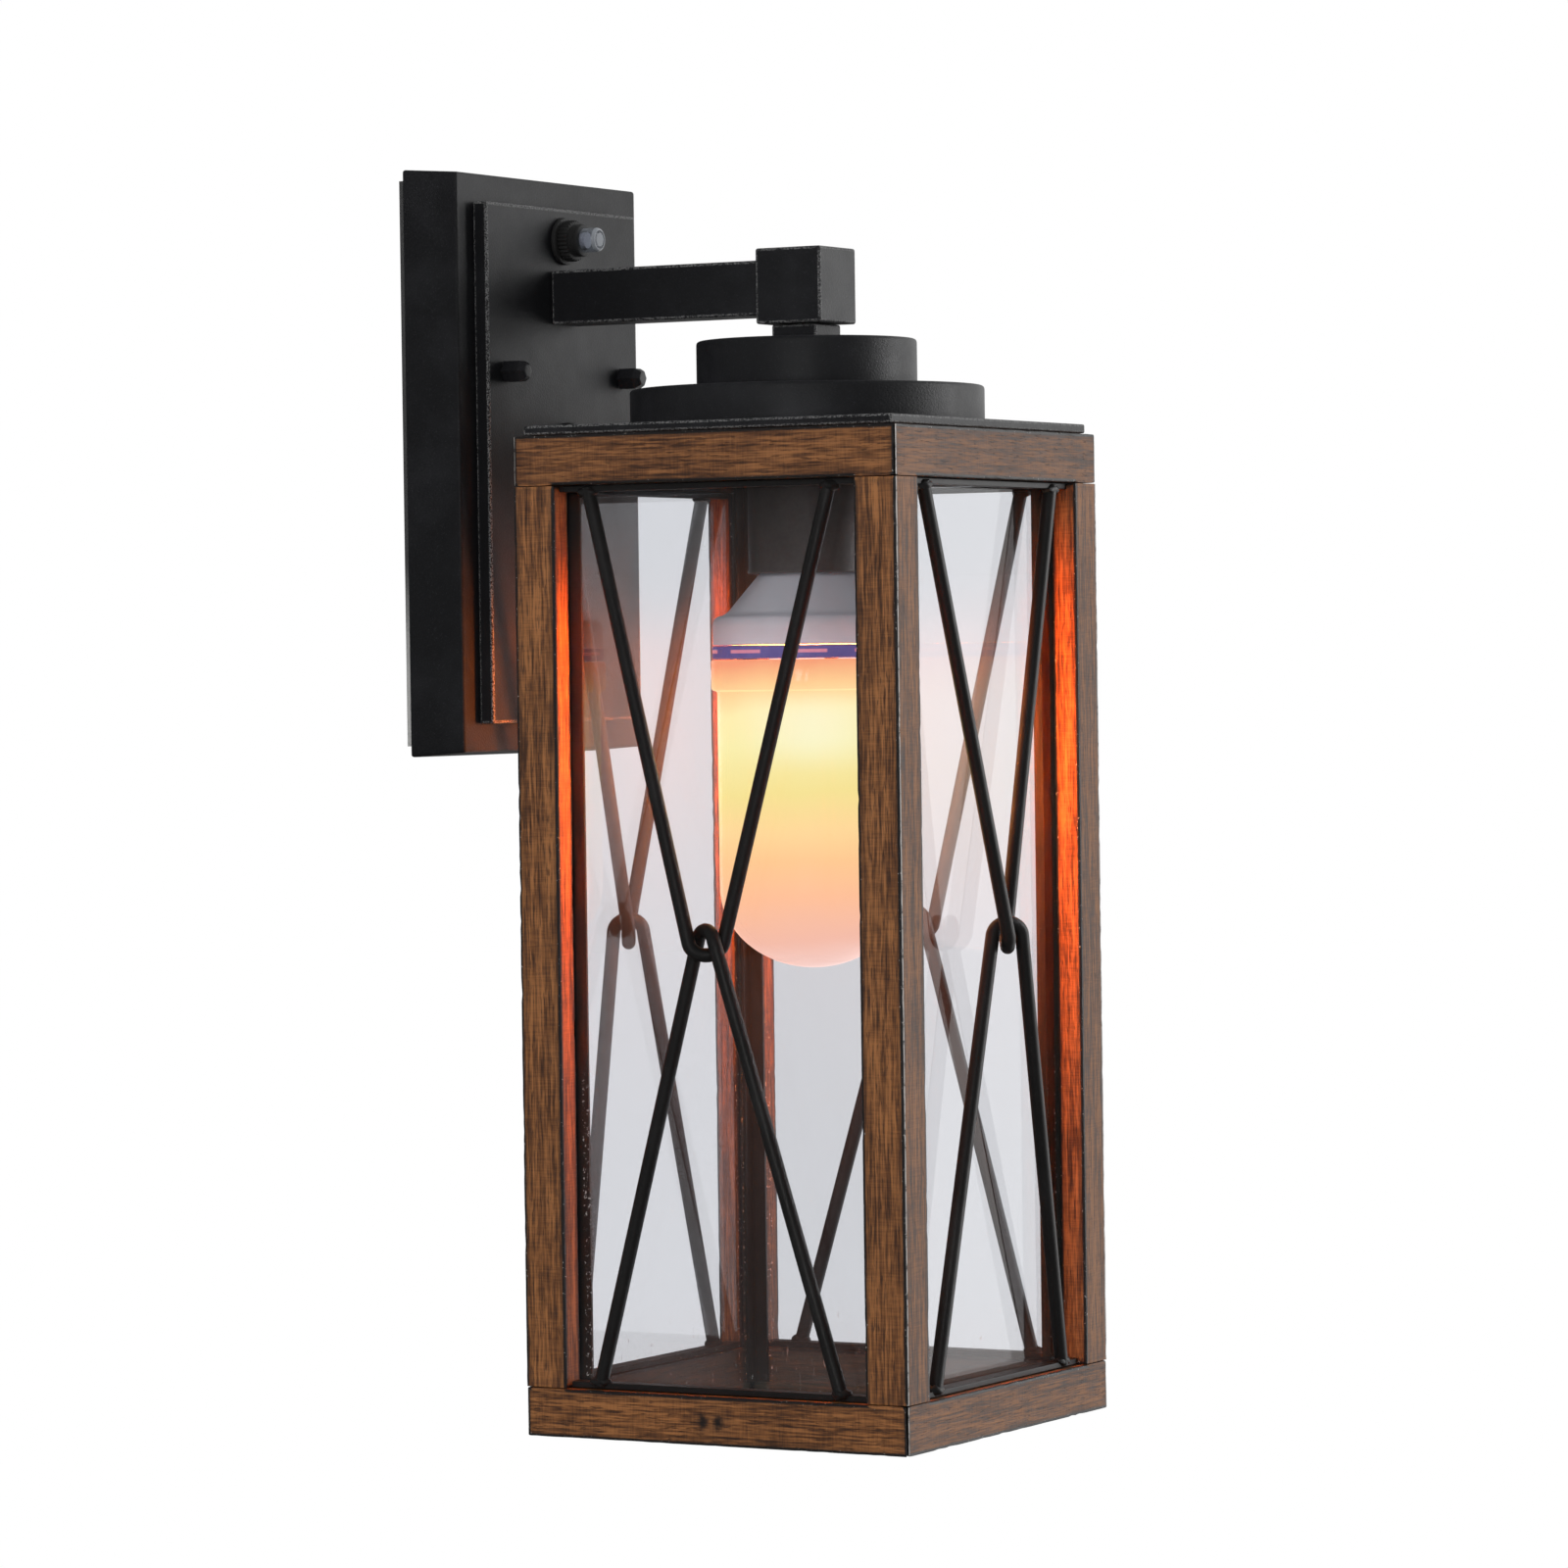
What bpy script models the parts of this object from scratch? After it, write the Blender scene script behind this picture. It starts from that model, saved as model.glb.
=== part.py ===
"""Outdoor wall lantern: a cast backplate and square arm carry a two-tier round cap, a square wood-look cage with
four clear panes, hooked round-iron rods on each face, and a lamp that hangs open at the bottom.

Metres, +Z up. The origin is on the wall plane, midway between the two mounting studs; the lantern faces -Y.
"""

import math

import bmesh
import bpy
from mathutils import Matrix, Vector

MM = 0.001
GAP = 0.3  # clearance between touching pieces

# Cage: outside width and depth, wood section, and the heights of its top and bottom, in mm
CAGE = 140.0
HALF = CAGE / 2
WOOD = 9.0
STILE = 15.0
RAIL_TOP = 16.1
RAIL_BOTTOM = 15.7
CAGE_TOP = -22.8
CAGE_HEIGHT = 323.2
CAGE_BOTTOM = CAGE_TOP - CAGE_HEIGHT
AXIS_Y = -120.6  # the lantern's vertical axis, out from the wall
PANE = 2.4
PANE_IN = WOOD + GAP  # from the cage's outside to the pane's outside
CHANNEL_LEG = 5.6
CHANNEL_WALL = 1.0

# Hooked rods
ROD_RADIUS = 2.3
HOOK_RADIUS = 4.8
HOOK_LAP = 7.9  # how far the two bends pass each other
HOOK_SPLIT = 3.0  # each leg's depth before or behind the hooks' centre
HOOK_OUT = 1.0  # the hooks' centre stands this far out of the cage's face
HOOK_Z = CAGE_TOP - RAIL_TOP - 146.7
FOOT_SPREAD = 44.4
FOOT_IN = 4.0
BAR_IN = 3.0
BAR_DEPTH = 5.4
BAR_THICK = 2.0

# Cap
ROOF = 135.0
ROOF_THICK = 3.0
ROOF_BOTTOM = CAGE_TOP + GAP
LOWER_RADIUS = 58.0
LOWER_HEIGHT = 11.8
UPPER_RADIUS = 36.1
SHEET = 1.6
NECK = 16.6
NECK_HEIGHT = 4.7
KNUCKLE = 24.2
KNUCKLE_HEIGHT = 24.7
PIPE_RADIUS = 5.0
PIPE_BORE = 3.8
PIPE_HOLE = PIPE_RADIUS + GAP

# Backplate and arm
PAN_WIDTH = 114.1
PAN_TOP = 65.0
PAN_BOTTOM = -125.1
PAN_REAR = 1.8
PAN_FRONT = 22.2
PAN_FLARE_SIDE = 0.8
PAN_FLARE_END = 1.45
PAN_WALL = 2.2
STEP_MARGIN = 9.4
STEP_FRONT = 27.7
GASKET = 1.5
ARM_Z = 25.6
ARM_WIDTH = 16.0
ARM_HEIGHT = 18.0
ARM_WALL = 2.2
STUD_X = 37.0
STUD_RADIUS = 2.1
CELL_Z = 44.7
COVER_SCREW_Z = -21.3

# Lamp
CUP_RADIUS = 20.0
CUP_BOTTOM = -67.9
SHELL_TOP = -38.3
BASE_TOP = -40.5
BULB_NECK = -66.3
BULB_SHOULDER = -83.2
BAND_TOP = -91.4
COLLAR_TOP = -95.9
GLOBE_TOP = -105.6
GLOBE_BOTTOM = -196.9
BULB_RADIUS = 32.0
COLLAR_RADIUS = 32.7
GLOBE_RADIUS = 30.8
GLOBE_DROP = 26.6  # height of the globe's rounded end

FACES = ("front", "right", "rear", "left")


def clear_scene():
    """Empties the scene."""
    for obj in list(bpy.data.objects):
        bpy.data.objects.remove(obj, do_unlink=True)


def new_collection(name):
    """Makes a collection under the scene."""
    made = bpy.data.collections.new(name)
    bpy.context.scene.collection.children.link(made)
    return made


def material(name, color, roughness, metallic=0.0, alpha=1.0):
    """Makes a Principled material."""
    made = bpy.data.materials.new(name)
    made.use_nodes = True
    shader = made.node_tree.nodes["Principled BSDF"]
    shader.inputs["Base Color"].default_value = (*color, 1.0)
    shader.inputs["Roughness"].default_value = roughness
    shader.inputs["Metallic"].default_value = metallic
    shader.inputs["Alpha"].default_value = alpha
    made.diffuse_color = (*color, alpha)
    return made


clear_scene()
PARTS = new_collection("wall_lantern")
CUTTERS = new_collection("cutters")

BLACK_METAL = material("black_powder_coat", (0.035, 0.035, 0.037), 0.55, 0.4)
IRON = material("black_iron", (0.03, 0.03, 0.032), 0.5, 0.5)
WOOD_PAINT = material("brushed_wood_paint", (0.20, 0.105, 0.05), 0.6)
GLASS = material("clear_glass", (0.9, 0.93, 0.93), 0.05, 0.0, 0.2)
ZINC = material("zinc_steel", (0.6, 0.6, 0.6), 0.35, 0.9)
FOAM = material("grey_foam", (0.45, 0.45, 0.45), 0.9)
RUBBER = material("black_rubber", (0.02, 0.02, 0.02), 0.8)
CLEAR_PLASTIC = material("clear_plastic", (0.85, 0.87, 0.88), 0.1, 0.0, 0.4)
PORCELAIN = material("porcelain", (0.85, 0.84, 0.8), 0.3)
BRASS = material("brass", (0.7, 0.5, 0.25), 0.35, 0.9)
CUP_METAL = material("dark_bronze", (0.09, 0.07, 0.06), 0.45, 0.6)
BULB_WHITE = material("bulb_plastic", (0.85, 0.85, 0.85), 0.4)
BULB_BAND = material("bulb_band", (0.5, 0.45, 0.75), 0.4)
DIFFUSER = material("bulb_diffuser", (0.95, 0.75, 0.6), 0.4)


def add(name, data, paint, at=(0, 0, 0), turn=(0, 0, 0)):
    """Puts a mesh or curve in the object's collection, placed in mm."""
    obj = bpy.data.objects.new(name, data)
    obj.location = Vector(at) * MM
    obj.rotation_euler = turn
    data.materials.clear()
    data.materials.append(paint)
    PARTS.objects.link(obj)
    return obj


def as_cutter(obj):
    """Turns an object into a boolean operand that isn't part of the object."""
    PARTS.objects.unlink(obj)
    CUTTERS.objects.link(obj)
    obj.hide_render = True
    obj.display_type = "WIRE"
    return obj


def soften(obj, width, segments=1):
    """Rounds an object's sharp edges."""
    mod = obj.modifiers.new("bevel", "BEVEL")
    mod.width = width * MM
    mod.segments = segments
    mod.limit_method = "ANGLE"
    mod.angle_limit = math.radians(40)
    return obj


def boolean(obj, other, operation="DIFFERENCE"):
    """Cuts or joins one object with another."""
    mod = obj.modifiers.new(operation.lower(), "BOOLEAN")
    mod.operation = operation
    mod.solver = "EXACT"
    mod.object = other
    return obj


def box(name, x, y, z, paint, bevel=0.0):
    """A block between two places on each axis, each given as (low, high) in mm."""
    mesh = bpy.data.meshes.new(name)
    bm = bmesh.new()
    size = Vector((x[1] - x[0], y[1] - y[0], z[1] - z[0])) * MM
    bmesh.ops.create_cube(bm, size=1.0, matrix=Matrix.Diagonal((*size, 1.0)))
    bm.to_mesh(mesh)
    bm.free()
    obj = add(name, mesh, paint, ((x[0] + x[1]) / 2, (y[0] + y[1]) / 2, (z[0] + z[1]) / 2))
    return soften(obj, bevel) if bevel else obj


def cylinder(name, radius, length, paint, at, turn=(0, 0, 0), sides=16):
    """A round bar of a radius and length, centred at a place, along its own Z."""
    mesh = bpy.data.meshes.new(name)
    bm = bmesh.new()
    bmesh.ops.create_cone(
        bm, cap_ends=True, segments=sides, radius1=radius * MM, radius2=radius * MM, depth=length * MM
    )
    bm.to_mesh(mesh)
    bm.free()
    return add(name, mesh, paint, at, turn)


def turned(name, profile, paint, at, turn=(0, 0, 0), sides=32):
    """A profile of (radius, height) points turned about the object's Z; it runs down the outside.

    A profile that starts and ends on the axis makes a solid, and any other is closed into a ring.
    """
    mesh = bpy.data.meshes.new(name)
    points = [(r * MM, 0, h * MM) for r, h in profile]
    edges = [(i, i + 1) for i in range(len(points) - 1)]
    if profile[0][0] > 0:
        edges.append((len(points) - 1, 0))
    mesh.from_pydata(points, edges, [])
    obj = add(name, mesh, paint, at, turn)
    mod = obj.modifiers.new("turn", "SCREW")
    mod.axis = "Z"
    mod.steps = sides
    mod.render_steps = sides
    mod.use_merge_vertices = True
    mod.merge_threshold = 0.00001
    mod.use_smooth_shade = True
    return obj


def prism(name, outline, height, paint, at, turn=(0, 0, 0), bevel=0.0):
    """A flat outline in the XY plane, thickened along Z about its middle, then made a mesh."""
    curve = bpy.data.curves.new(name, "CURVE")
    curve.dimensions = "2D"
    curve.fill_mode = "BOTH"
    curve.extrude = height * MM / 2
    spline = curve.splines.new("POLY")
    spline.points.add(len(outline) - 1)
    for point, (x, y) in zip(spline.points, outline):
        point.co = (x * MM, y * MM, 0, 1)
    spline.use_cyclic_u = True
    obj = add(name, mesh_of_curve(name, curve), paint, at, turn)
    return soften(obj, bevel) if bevel else obj


def mesh_of_curve(name, curve):
    """Turns a curve into a welded mesh in the curve's own axes."""
    guide = bpy.data.objects.new(name + "_guide", curve)
    CUTTERS.objects.link(guide)
    return baked(guide, name)


def baked(obj, name):
    """Evaluates an object into a plain welded mesh and removes the object."""
    graph = bpy.context.evaluated_depsgraph_get()
    mesh = bpy.data.meshes.new_from_object(obj.evaluated_get(graph))
    mesh.name = name
    bpy.data.objects.remove(obj, do_unlink=True)
    bm = bmesh.new()
    bm.from_mesh(mesh)
    bmesh.ops.remove_doubles(bm, verts=bm.verts, dist=0.000001)
    bmesh.ops.recalc_face_normals(bm, faces=bm.faces)
    bm.to_mesh(mesh)
    bm.free()
    return mesh


def tube(outer, inner, low, high):
    """The closed profile of a round tube, for turned()."""
    return [(outer, high), (outer, low), (inner, low), (inner, high)]


def hexagon(name, across, hole, low, high, paint, at, turn=(0, 0, 0)):
    """A hexagon nut with a plain bore, from one height to another on its own Z."""
    corner = across / math.sqrt(3)
    outline = [(corner * math.cos(math.radians(60 * i)), corner * math.sin(math.radians(60 * i))) for i in range(6)]
    nut = prism(name, outline, high - low, paint, at, turn)
    nut.data.transform(Matrix.Translation((0, 0, (low + high) / 2 * MM)))
    bore = as_cutter(cylinder(name + "_bore", hole, 4 * (high - low), paint, at, turn))
    bore.data.transform(Matrix.Translation((0, 0, (low + high) / 2 * MM)))
    return boolean(nut, bore)


TO_FRONT = (math.radians(90), 0, 0)  # turns an object's +Z to -Y, out from the wall


def wall_side():
    """The strap, its studs and cap nuts, the gasket, and the backplate in two steps."""
    strap = box("mounting_strap", (-47, 47), (-7.8, -5.8), (-8, 8), ZINC)
    centre_hole = as_cutter(cylinder("strap_centre_hole", 5.5, 10, ZINC, (0, -6.8, 0), TO_FRONT))
    boolean(strap, centre_hole)
    for side, sign in (("left", -1), ("right", 1)):
        x = sign * STUD_X
        hole = as_cutter(cylinder("stud_hole_" + side, STUD_RADIUS + GAP, 60, ZINC, (x, -20, 0), TO_FRONT))
        boolean(strap, hole)
        slot = box("strap_slot_" + side, (sign * 25 - 5, sign * 25 + 5), (-12, -2), (-2.2, 2.2), ZINC)
        boolean(strap, as_cutter(slot))
        stud = [(0, 33.0), (STUD_RADIUS, 33.0), (STUD_RADIUS, 5.5), (3.8, 5.5), (3.8, 3.5), (0, 3.5)]
        turned("stud_" + side, stud, ZINC, (x, 0, 0), TO_FRONT, 16)
        nut = [(0, 36.5), (2.6, 36.5), (3.9, 34.3), (3.9, 28.0), (2.4, 28.0), (2.4, 33.5), (0, 33.5)]
        turned("cap_nut_" + side, nut, BLACK_METAL, (x, 0, 0), TO_FRONT, 20)

    rear_half = PAN_WIDTH / 2 + PAN_FLARE_SIDE
    gasket = box(
        "wall_gasket",
        (1 - rear_half, rear_half - 1),
        (-GASKET, 0),
        (PAN_BOTTOM - PAN_FLARE_END + 3.7, PAN_TOP + PAN_FLARE_END - 3.7),
        FOAM,
    )
    inside = as_cutter(
        box("gasket_window", (9 - rear_half, rear_half - 9), (-10, 10), (PAN_BOTTOM + 11, PAN_TOP - 11), FOAM)
    )
    boolean(gasket, inside)

    pan = flared_box("backplate_pan", PAN_REAR, PAN_FRONT, 0.0, BLACK_METAL)
    hollow = as_cutter(flared_box("pan_hollow", PAN_REAR - 5, PAN_FRONT - PAN_WALL, PAN_WALL, BLACK_METAL))
    soften(pan, 1.3, 2)
    boolean(pan, hollow)
    edge = PAN_WIDTH / 2 - STEP_MARGIN
    step = box(
        "backplate_step",
        (-edge, edge),
        (-STEP_FRONT, -PAN_FRONT - GAP),
        (PAN_BOTTOM + STEP_MARGIN, PAN_TOP - STEP_MARGIN),
        BLACK_METAL,
        0.5,
    )
    holes = [bpy.data.objects["stud_hole_left"], bpy.data.objects["stud_hole_right"]]
    for name, radius, height in (
        ("arm_hole", PIPE_HOLE, ARM_Z),
        ("cell_hole", 4.8, CELL_Z),
        ("cover_screw_hole", 2.3, COVER_SCREW_Z),
    ):
        holes.append(as_cutter(cylinder(name, radius, 30, BLACK_METAL, (0, -24, height), TO_FRONT)))
    for hole in holes:
        boolean(pan, hole)
        boolean(step, hole)
    screw = [(0, 33.4), (3.2, 33.2), (5.0, 31.8), (5.5, 29.8), (5.5, 28.0), (2.0, 28.0), (2.0, 17.0), (0, 17.0)]
    turned("cover_screw", screw, BLACK_METAL, (0, 0, COVER_SCREW_Z), TO_FRONT, 16)


def flared_box(name, rear, front, inset, paint):
    """A block whose rear is wider than its front, by the pan's draft, and smaller all round by an inset."""
    half = PAN_WIDTH / 2 - inset
    low = PAN_BOTTOM + inset
    high = PAN_TOP - inset
    obj = box(name, (-half, half), (-front, -rear), (low, high), paint)
    draft = (front - rear) / (PAN_FRONT - PAN_REAR)
    for vertex in obj.data.vertices:
        if vertex.co.y > 0:
            vertex.co.x += math.copysign(PAN_FLARE_SIDE * draft * MM, vertex.co.x)
            vertex.co.z += math.copysign(PAN_FLARE_END * draft * MM, vertex.co.z)
    return obj


def photocell():
    """The dusk sensor on the backplate: washer, body with a threaded stem, sensing disc, clear cap and inner nut."""
    at = (0, 0, CELL_Z)
    turned("photocell_washer", tube(7.9, 4.9, 28.0, 29.5), RUBBER, at, TO_FRONT, 24)
    body = [(3.4, 36.3), (5.1, 36.3), (5.45, 35.9), (5.45, 33.4), (6.85, 33.0), (6.85, 29.8), (4.5, 29.8), (4.5, 12.0)]
    body += [(2.2, 12.0), (2.2, 34.0), (3.4, 34.0)]
    turned("photocell_body", body, RUBBER, at, TO_FRONT, 24)
    disc = [(0, 37.6), (2.7, 37.6), (2.7, 34.3), (0, 34.3)]
    turned("photocell_disc", disc, FOAM, at, TO_FRONT, 16)
    dome = [(4.05 * math.cos(a), 40.0 + 2.4 * math.sin(a)) for a in arc(90, 0, 5)]
    bore = [(3.2 * math.cos(a), 39.6 + 2.0 * math.sin(a)) for a in arc(0, 90, 4)]
    dome[0] = (0, dome[0][1])
    bore[-1] = (0, bore[-1][1])
    turned("photocell_cap", dome + [(4.05, 36.6), (3.2, 36.6)] + bore, CLEAR_PLASTIC, at, TO_FRONT, 16)
    hexagon("photocell_nut", 14.0, 4.8, 16.7, 19.7, ZINC, at, TO_FRONT)


def arc(start, end, steps):
    """Angles in radians from one angle in degrees to another."""
    return [math.radians(start + (end - start) * i / steps) for i in range(steps + 1)]


def arm():
    """The square arm tube, the threaded pipe that runs through it, its inner nut, and the corner block."""
    knuckle_rear = -AXIS_Y - KNUCKLE / 2
    length = (STEP_FRONT + GAP, knuckle_rear - GAP)
    half = ARM_WIDTH / 2
    tall = ARM_HEIGHT / 2
    arm_tube = box("arm_tube", (-half, half), (-length[1], -length[0]), (ARM_Z - tall, ARM_Z + tall), BLACK_METAL, 0.8)
    way = box(
        "arm_wireway",
        (ARM_WALL - half, half - ARM_WALL),
        (-length[1] - 5, -length[0] + 5),
        (ARM_Z - tall + ARM_WALL, ARM_Z + tall - ARM_WALL),
        BLACK_METAL,
    )
    boolean(arm_tube, as_cutter(way))
    turned("arm_pipe", tube(PIPE_RADIUS, PIPE_BORE, 12, knuckle_rear + 5.5), ZINC, (0, 0, ARM_Z), TO_FRONT, 16)
    hexagon("arm_locknut", 15.0, PIPE_HOLE, 16.2, 19.7, ZINC, (0, 0, ARM_Z), TO_FRONT)

    low = ARM_Z - KNUCKLE_HEIGHT / 2 + 0.25
    high = low + KNUCKLE_HEIGHT
    side = KNUCKLE / 2
    knuckle = box("knuckle_block", (-side, side), (AXIS_Y - side, AXIS_Y + side), (low, high), BLACK_METAL, 0.7)
    rear_bore = cylinder("knuckle_rear_bore", PIPE_HOLE, 40, BLACK_METAL, (0, AXIS_Y + 20, ARM_Z), TO_FRONT)
    down_bore = cylinder("knuckle_down_bore", PIPE_HOLE, 40, BLACK_METAL, (0, AXIS_Y, ARM_Z + 5 - 20))
    boolean(knuckle, as_cutter(rear_bore))
    boolean(knuckle, as_cutter(down_bore))
    return low


def cap(knuckle_low):
    """The neck, the two round tiers, the square roof plate, and the pipe and nut that clamp them."""
    neck_top = knuckle_low - GAP
    neck_low = neck_top - NECK_HEIGHT
    side = NECK / 2
    neck = box("neck", (-side, side), (AXIS_Y - side, AXIS_Y + side), (neck_low, neck_top), BLACK_METAL, 0.5)
    roof_top = ROOF_BOTTOM + ROOF_THICK
    roof = box(
        "roof_plate",
        (-ROOF / 2, ROOF / 2),
        (AXIS_Y - ROOF / 2, AXIS_Y + ROOF / 2),
        (ROOF_BOTTOM, roof_top),
        BLACK_METAL,
        0.5,
    )
    hole = as_cutter(cylinder("cap_pipe_hole", PIPE_HOLE, 80, BLACK_METAL, (0, AXIS_Y, 0)))
    boolean(neck, hole)
    boolean(roof, hole)
    lower_low = roof_top + GAP
    upper_low = lower_low + LOWER_HEIGHT + GAP
    tier("lower_drum", LOWER_RADIUS, lower_low, lower_low + LOWER_HEIGHT, 48)
    tier("upper_drum", UPPER_RADIUS, upper_low, neck_low - GAP, 40)
    turned("cap_pipe", tube(PIPE_RADIUS, PIPE_BORE, -33, 20), ZINC, (0, AXIS_Y, 0), sides=16)
    hexagon("cap_locknut", 15.0, PIPE_HOLE, -27.6, -24.3, ZINC, (0, AXIS_Y, 0))


def tier(name, radius, low, high, sides):
    """A round cover of sheet metal, open below, with a pipe hole in its top."""
    edge = 1.2
    outline = [(PIPE_HOLE, high), (radius - edge, high), (radius - 0.35 * edge, high - 0.35 * edge)]
    outline += [(radius, high - edge), (radius, low), (radius - SHEET, low), (radius - SHEET, high - SHEET)]
    outline += [(PIPE_HOLE, high - SHEET)]
    turned(name, outline, BLACK_METAL, (0, AXIS_Y, 0), sides=sides)


def cage():
    """Corner posts between full-width rails, the panes behind them, and a small channel in each corner."""
    opening_top = CAGE_TOP - RAIL_TOP
    opening_low = CAGE_BOTTOM + RAIL_BOTTOM
    post = [(HALF, HALF), (HALF - STILE, HALF), (HALF - STILE, HALF - WOOD)]
    post += [(HALF - WOOD, HALF - WOOD), (HALF - WOOD, HALF - STILE), (HALF, HALF - STILE)]
    out = HALF - PANE_IN - PANE - GAP
    leg = out - CHANNEL_LEG
    inner = out - CHANNEL_WALL
    channel = [(out, out), (leg, out), (leg, inner), (inner, inner), (inner, leg), (out, leg)]
    mitre = GAP
    rail = [(mitre - HALF, -HALF), (HALF - mitre, -HALF)]
    rail += [(HALF - WOOD - mitre, WOOD - HALF), (WOOD + mitre - HALF, WOOD - HALF)]
    corners = ("front_left", "front_right", "rear_right", "rear_left")
    for i, (corner, face) in enumerate(zip(corners, FACES)):
        spin = (0, 0, math.radians(90 * i))
        spin_post = (0, 0, math.radians(90 * i + 180))
        post_height = opening_top - opening_low - 2 * GAP
        post_at = (0, AXIS_Y, (opening_top + opening_low) / 2)
        prism("post_" + corner, post, post_height, WOOD_PAINT, post_at, spin_post, 0.5)
        channel_top = CAGE_TOP - 3
        channel_low = CAGE_BOTTOM + 4.5
        channel_at = (0, AXIS_Y, (channel_top + channel_low) / 2)
        prism("glass_channel_" + corner, channel, channel_top - channel_low, IRON, channel_at, spin_post)
        top_at = (0, AXIS_Y, CAGE_TOP - RAIL_TOP / 2)
        low_at = (0, AXIS_Y, CAGE_BOTTOM + RAIL_BOTTOM / 2)
        prism("top_rail_" + face, rail, RAIL_TOP, WOOD_PAINT, top_at, spin, 0.5)
        prism("bottom_rail_" + face, rail, RAIL_BOTTOM, WOOD_PAINT, low_at, spin, 0.5)
        across = HALF - PANE_IN if i % 2 else out
        pane_outline = [(-across, PANE_IN - HALF), (across, PANE_IN - HALF)]
        pane_outline += [(across, PANE_IN + PANE - HALF), (-across, PANE_IN + PANE - HALF)]
        prism("pane_" + face, pane_outline, channel_top - channel_low, GLASS, channel_at, spin)


def rod_path(down):
    """Centre line of one hooked rod on the front face, from foot to foot, in mm about the cage's axis.

    Seen from in front the legs are tangents from the feet to a small circle. The leg on the left passes in front of
    the other rod where the bend hangs down, and behind it where the bend stands up.
    """
    way = 1 if down else -1
    foot_z = (CAGE_TOP - RAIL_TOP - GAP if down else CAGE_BOTTOM + RAIL_BOTTOM + GAP) - way * BAR_THICK / 2
    bend_z = HOOK_Z - way * HOOK_LAP / 2
    middle_z = bend_z + way * HOOK_RADIUS
    reach = math.hypot(FOOT_SPREAD, foot_z - middle_z)
    lean = math.atan2(FOOT_SPREAD, abs(foot_z - middle_z)) - math.asin(HOOK_RADIUS / reach)
    points = [(-FOOT_SPREAD, FOOT_IN - HALF, foot_z)]
    for angle in arc(180 + math.degrees(lean), 360 - math.degrees(lean), 12):
        across = HOOK_RADIUS * math.cos(angle)
        depth = HOOK_SPLIT * across / HOOK_RADIUS * way
        points.append((across, depth - HALF - HOOK_OUT, middle_z + way * HOOK_RADIUS * math.sin(angle)))
    points.append((FOOT_SPREAD, FOOT_IN - HALF, foot_z))
    return points


def grille_mesh(down):
    """One hooked rod welded to the flat bar that carries its feet."""
    name = "grille_upper" if down else "grille_lower"
    curve = bpy.data.curves.new(name, "CURVE")
    curve.dimensions = "3D"
    curve.bevel_depth = ROD_RADIUS * MM
    curve.bevel_resolution = 2
    curve.use_fill_caps = True
    points = rod_path(down)
    spline = curve.splines.new("POLY")
    spline.points.add(len(points) - 1)
    for point, place in zip(spline.points, points):
        point.co = (*(Vector(place) * MM), 1)
    rod = as_cutter(add(name + "_rod", mesh_of_curve(name + "_rod", curve), IRON))
    half = HALF - STILE - GAP
    high = CAGE_TOP - RAIL_TOP - GAP if down else CAGE_BOTTOM + RAIL_BOTTOM + GAP + BAR_THICK
    bar = box(name + "_bar", (-half, half), (BAR_IN - HALF, BAR_IN + BAR_DEPTH - HALF), (high - BAR_THICK, high), IRON)
    boolean(bar, rod, "UNION")
    bpy.context.view_layer.update()
    middle = bar.location.copy()
    mesh = baked(bar, name)
    mesh.transform(Matrix.Translation(middle))
    bpy.data.objects.remove(rod, do_unlink=True)
    return mesh


def grilles():
    """An upper and a lower hooked rod on each face."""
    for name, down in (("grille_upper_", True), ("grille_lower_", False)):
        mesh = grille_mesh(down)
        for i, face in enumerate(FACES):
            add(name + face, mesh, IRON, (0, AXIS_Y, 0), (0, 0, math.radians(90 * i)))


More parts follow.
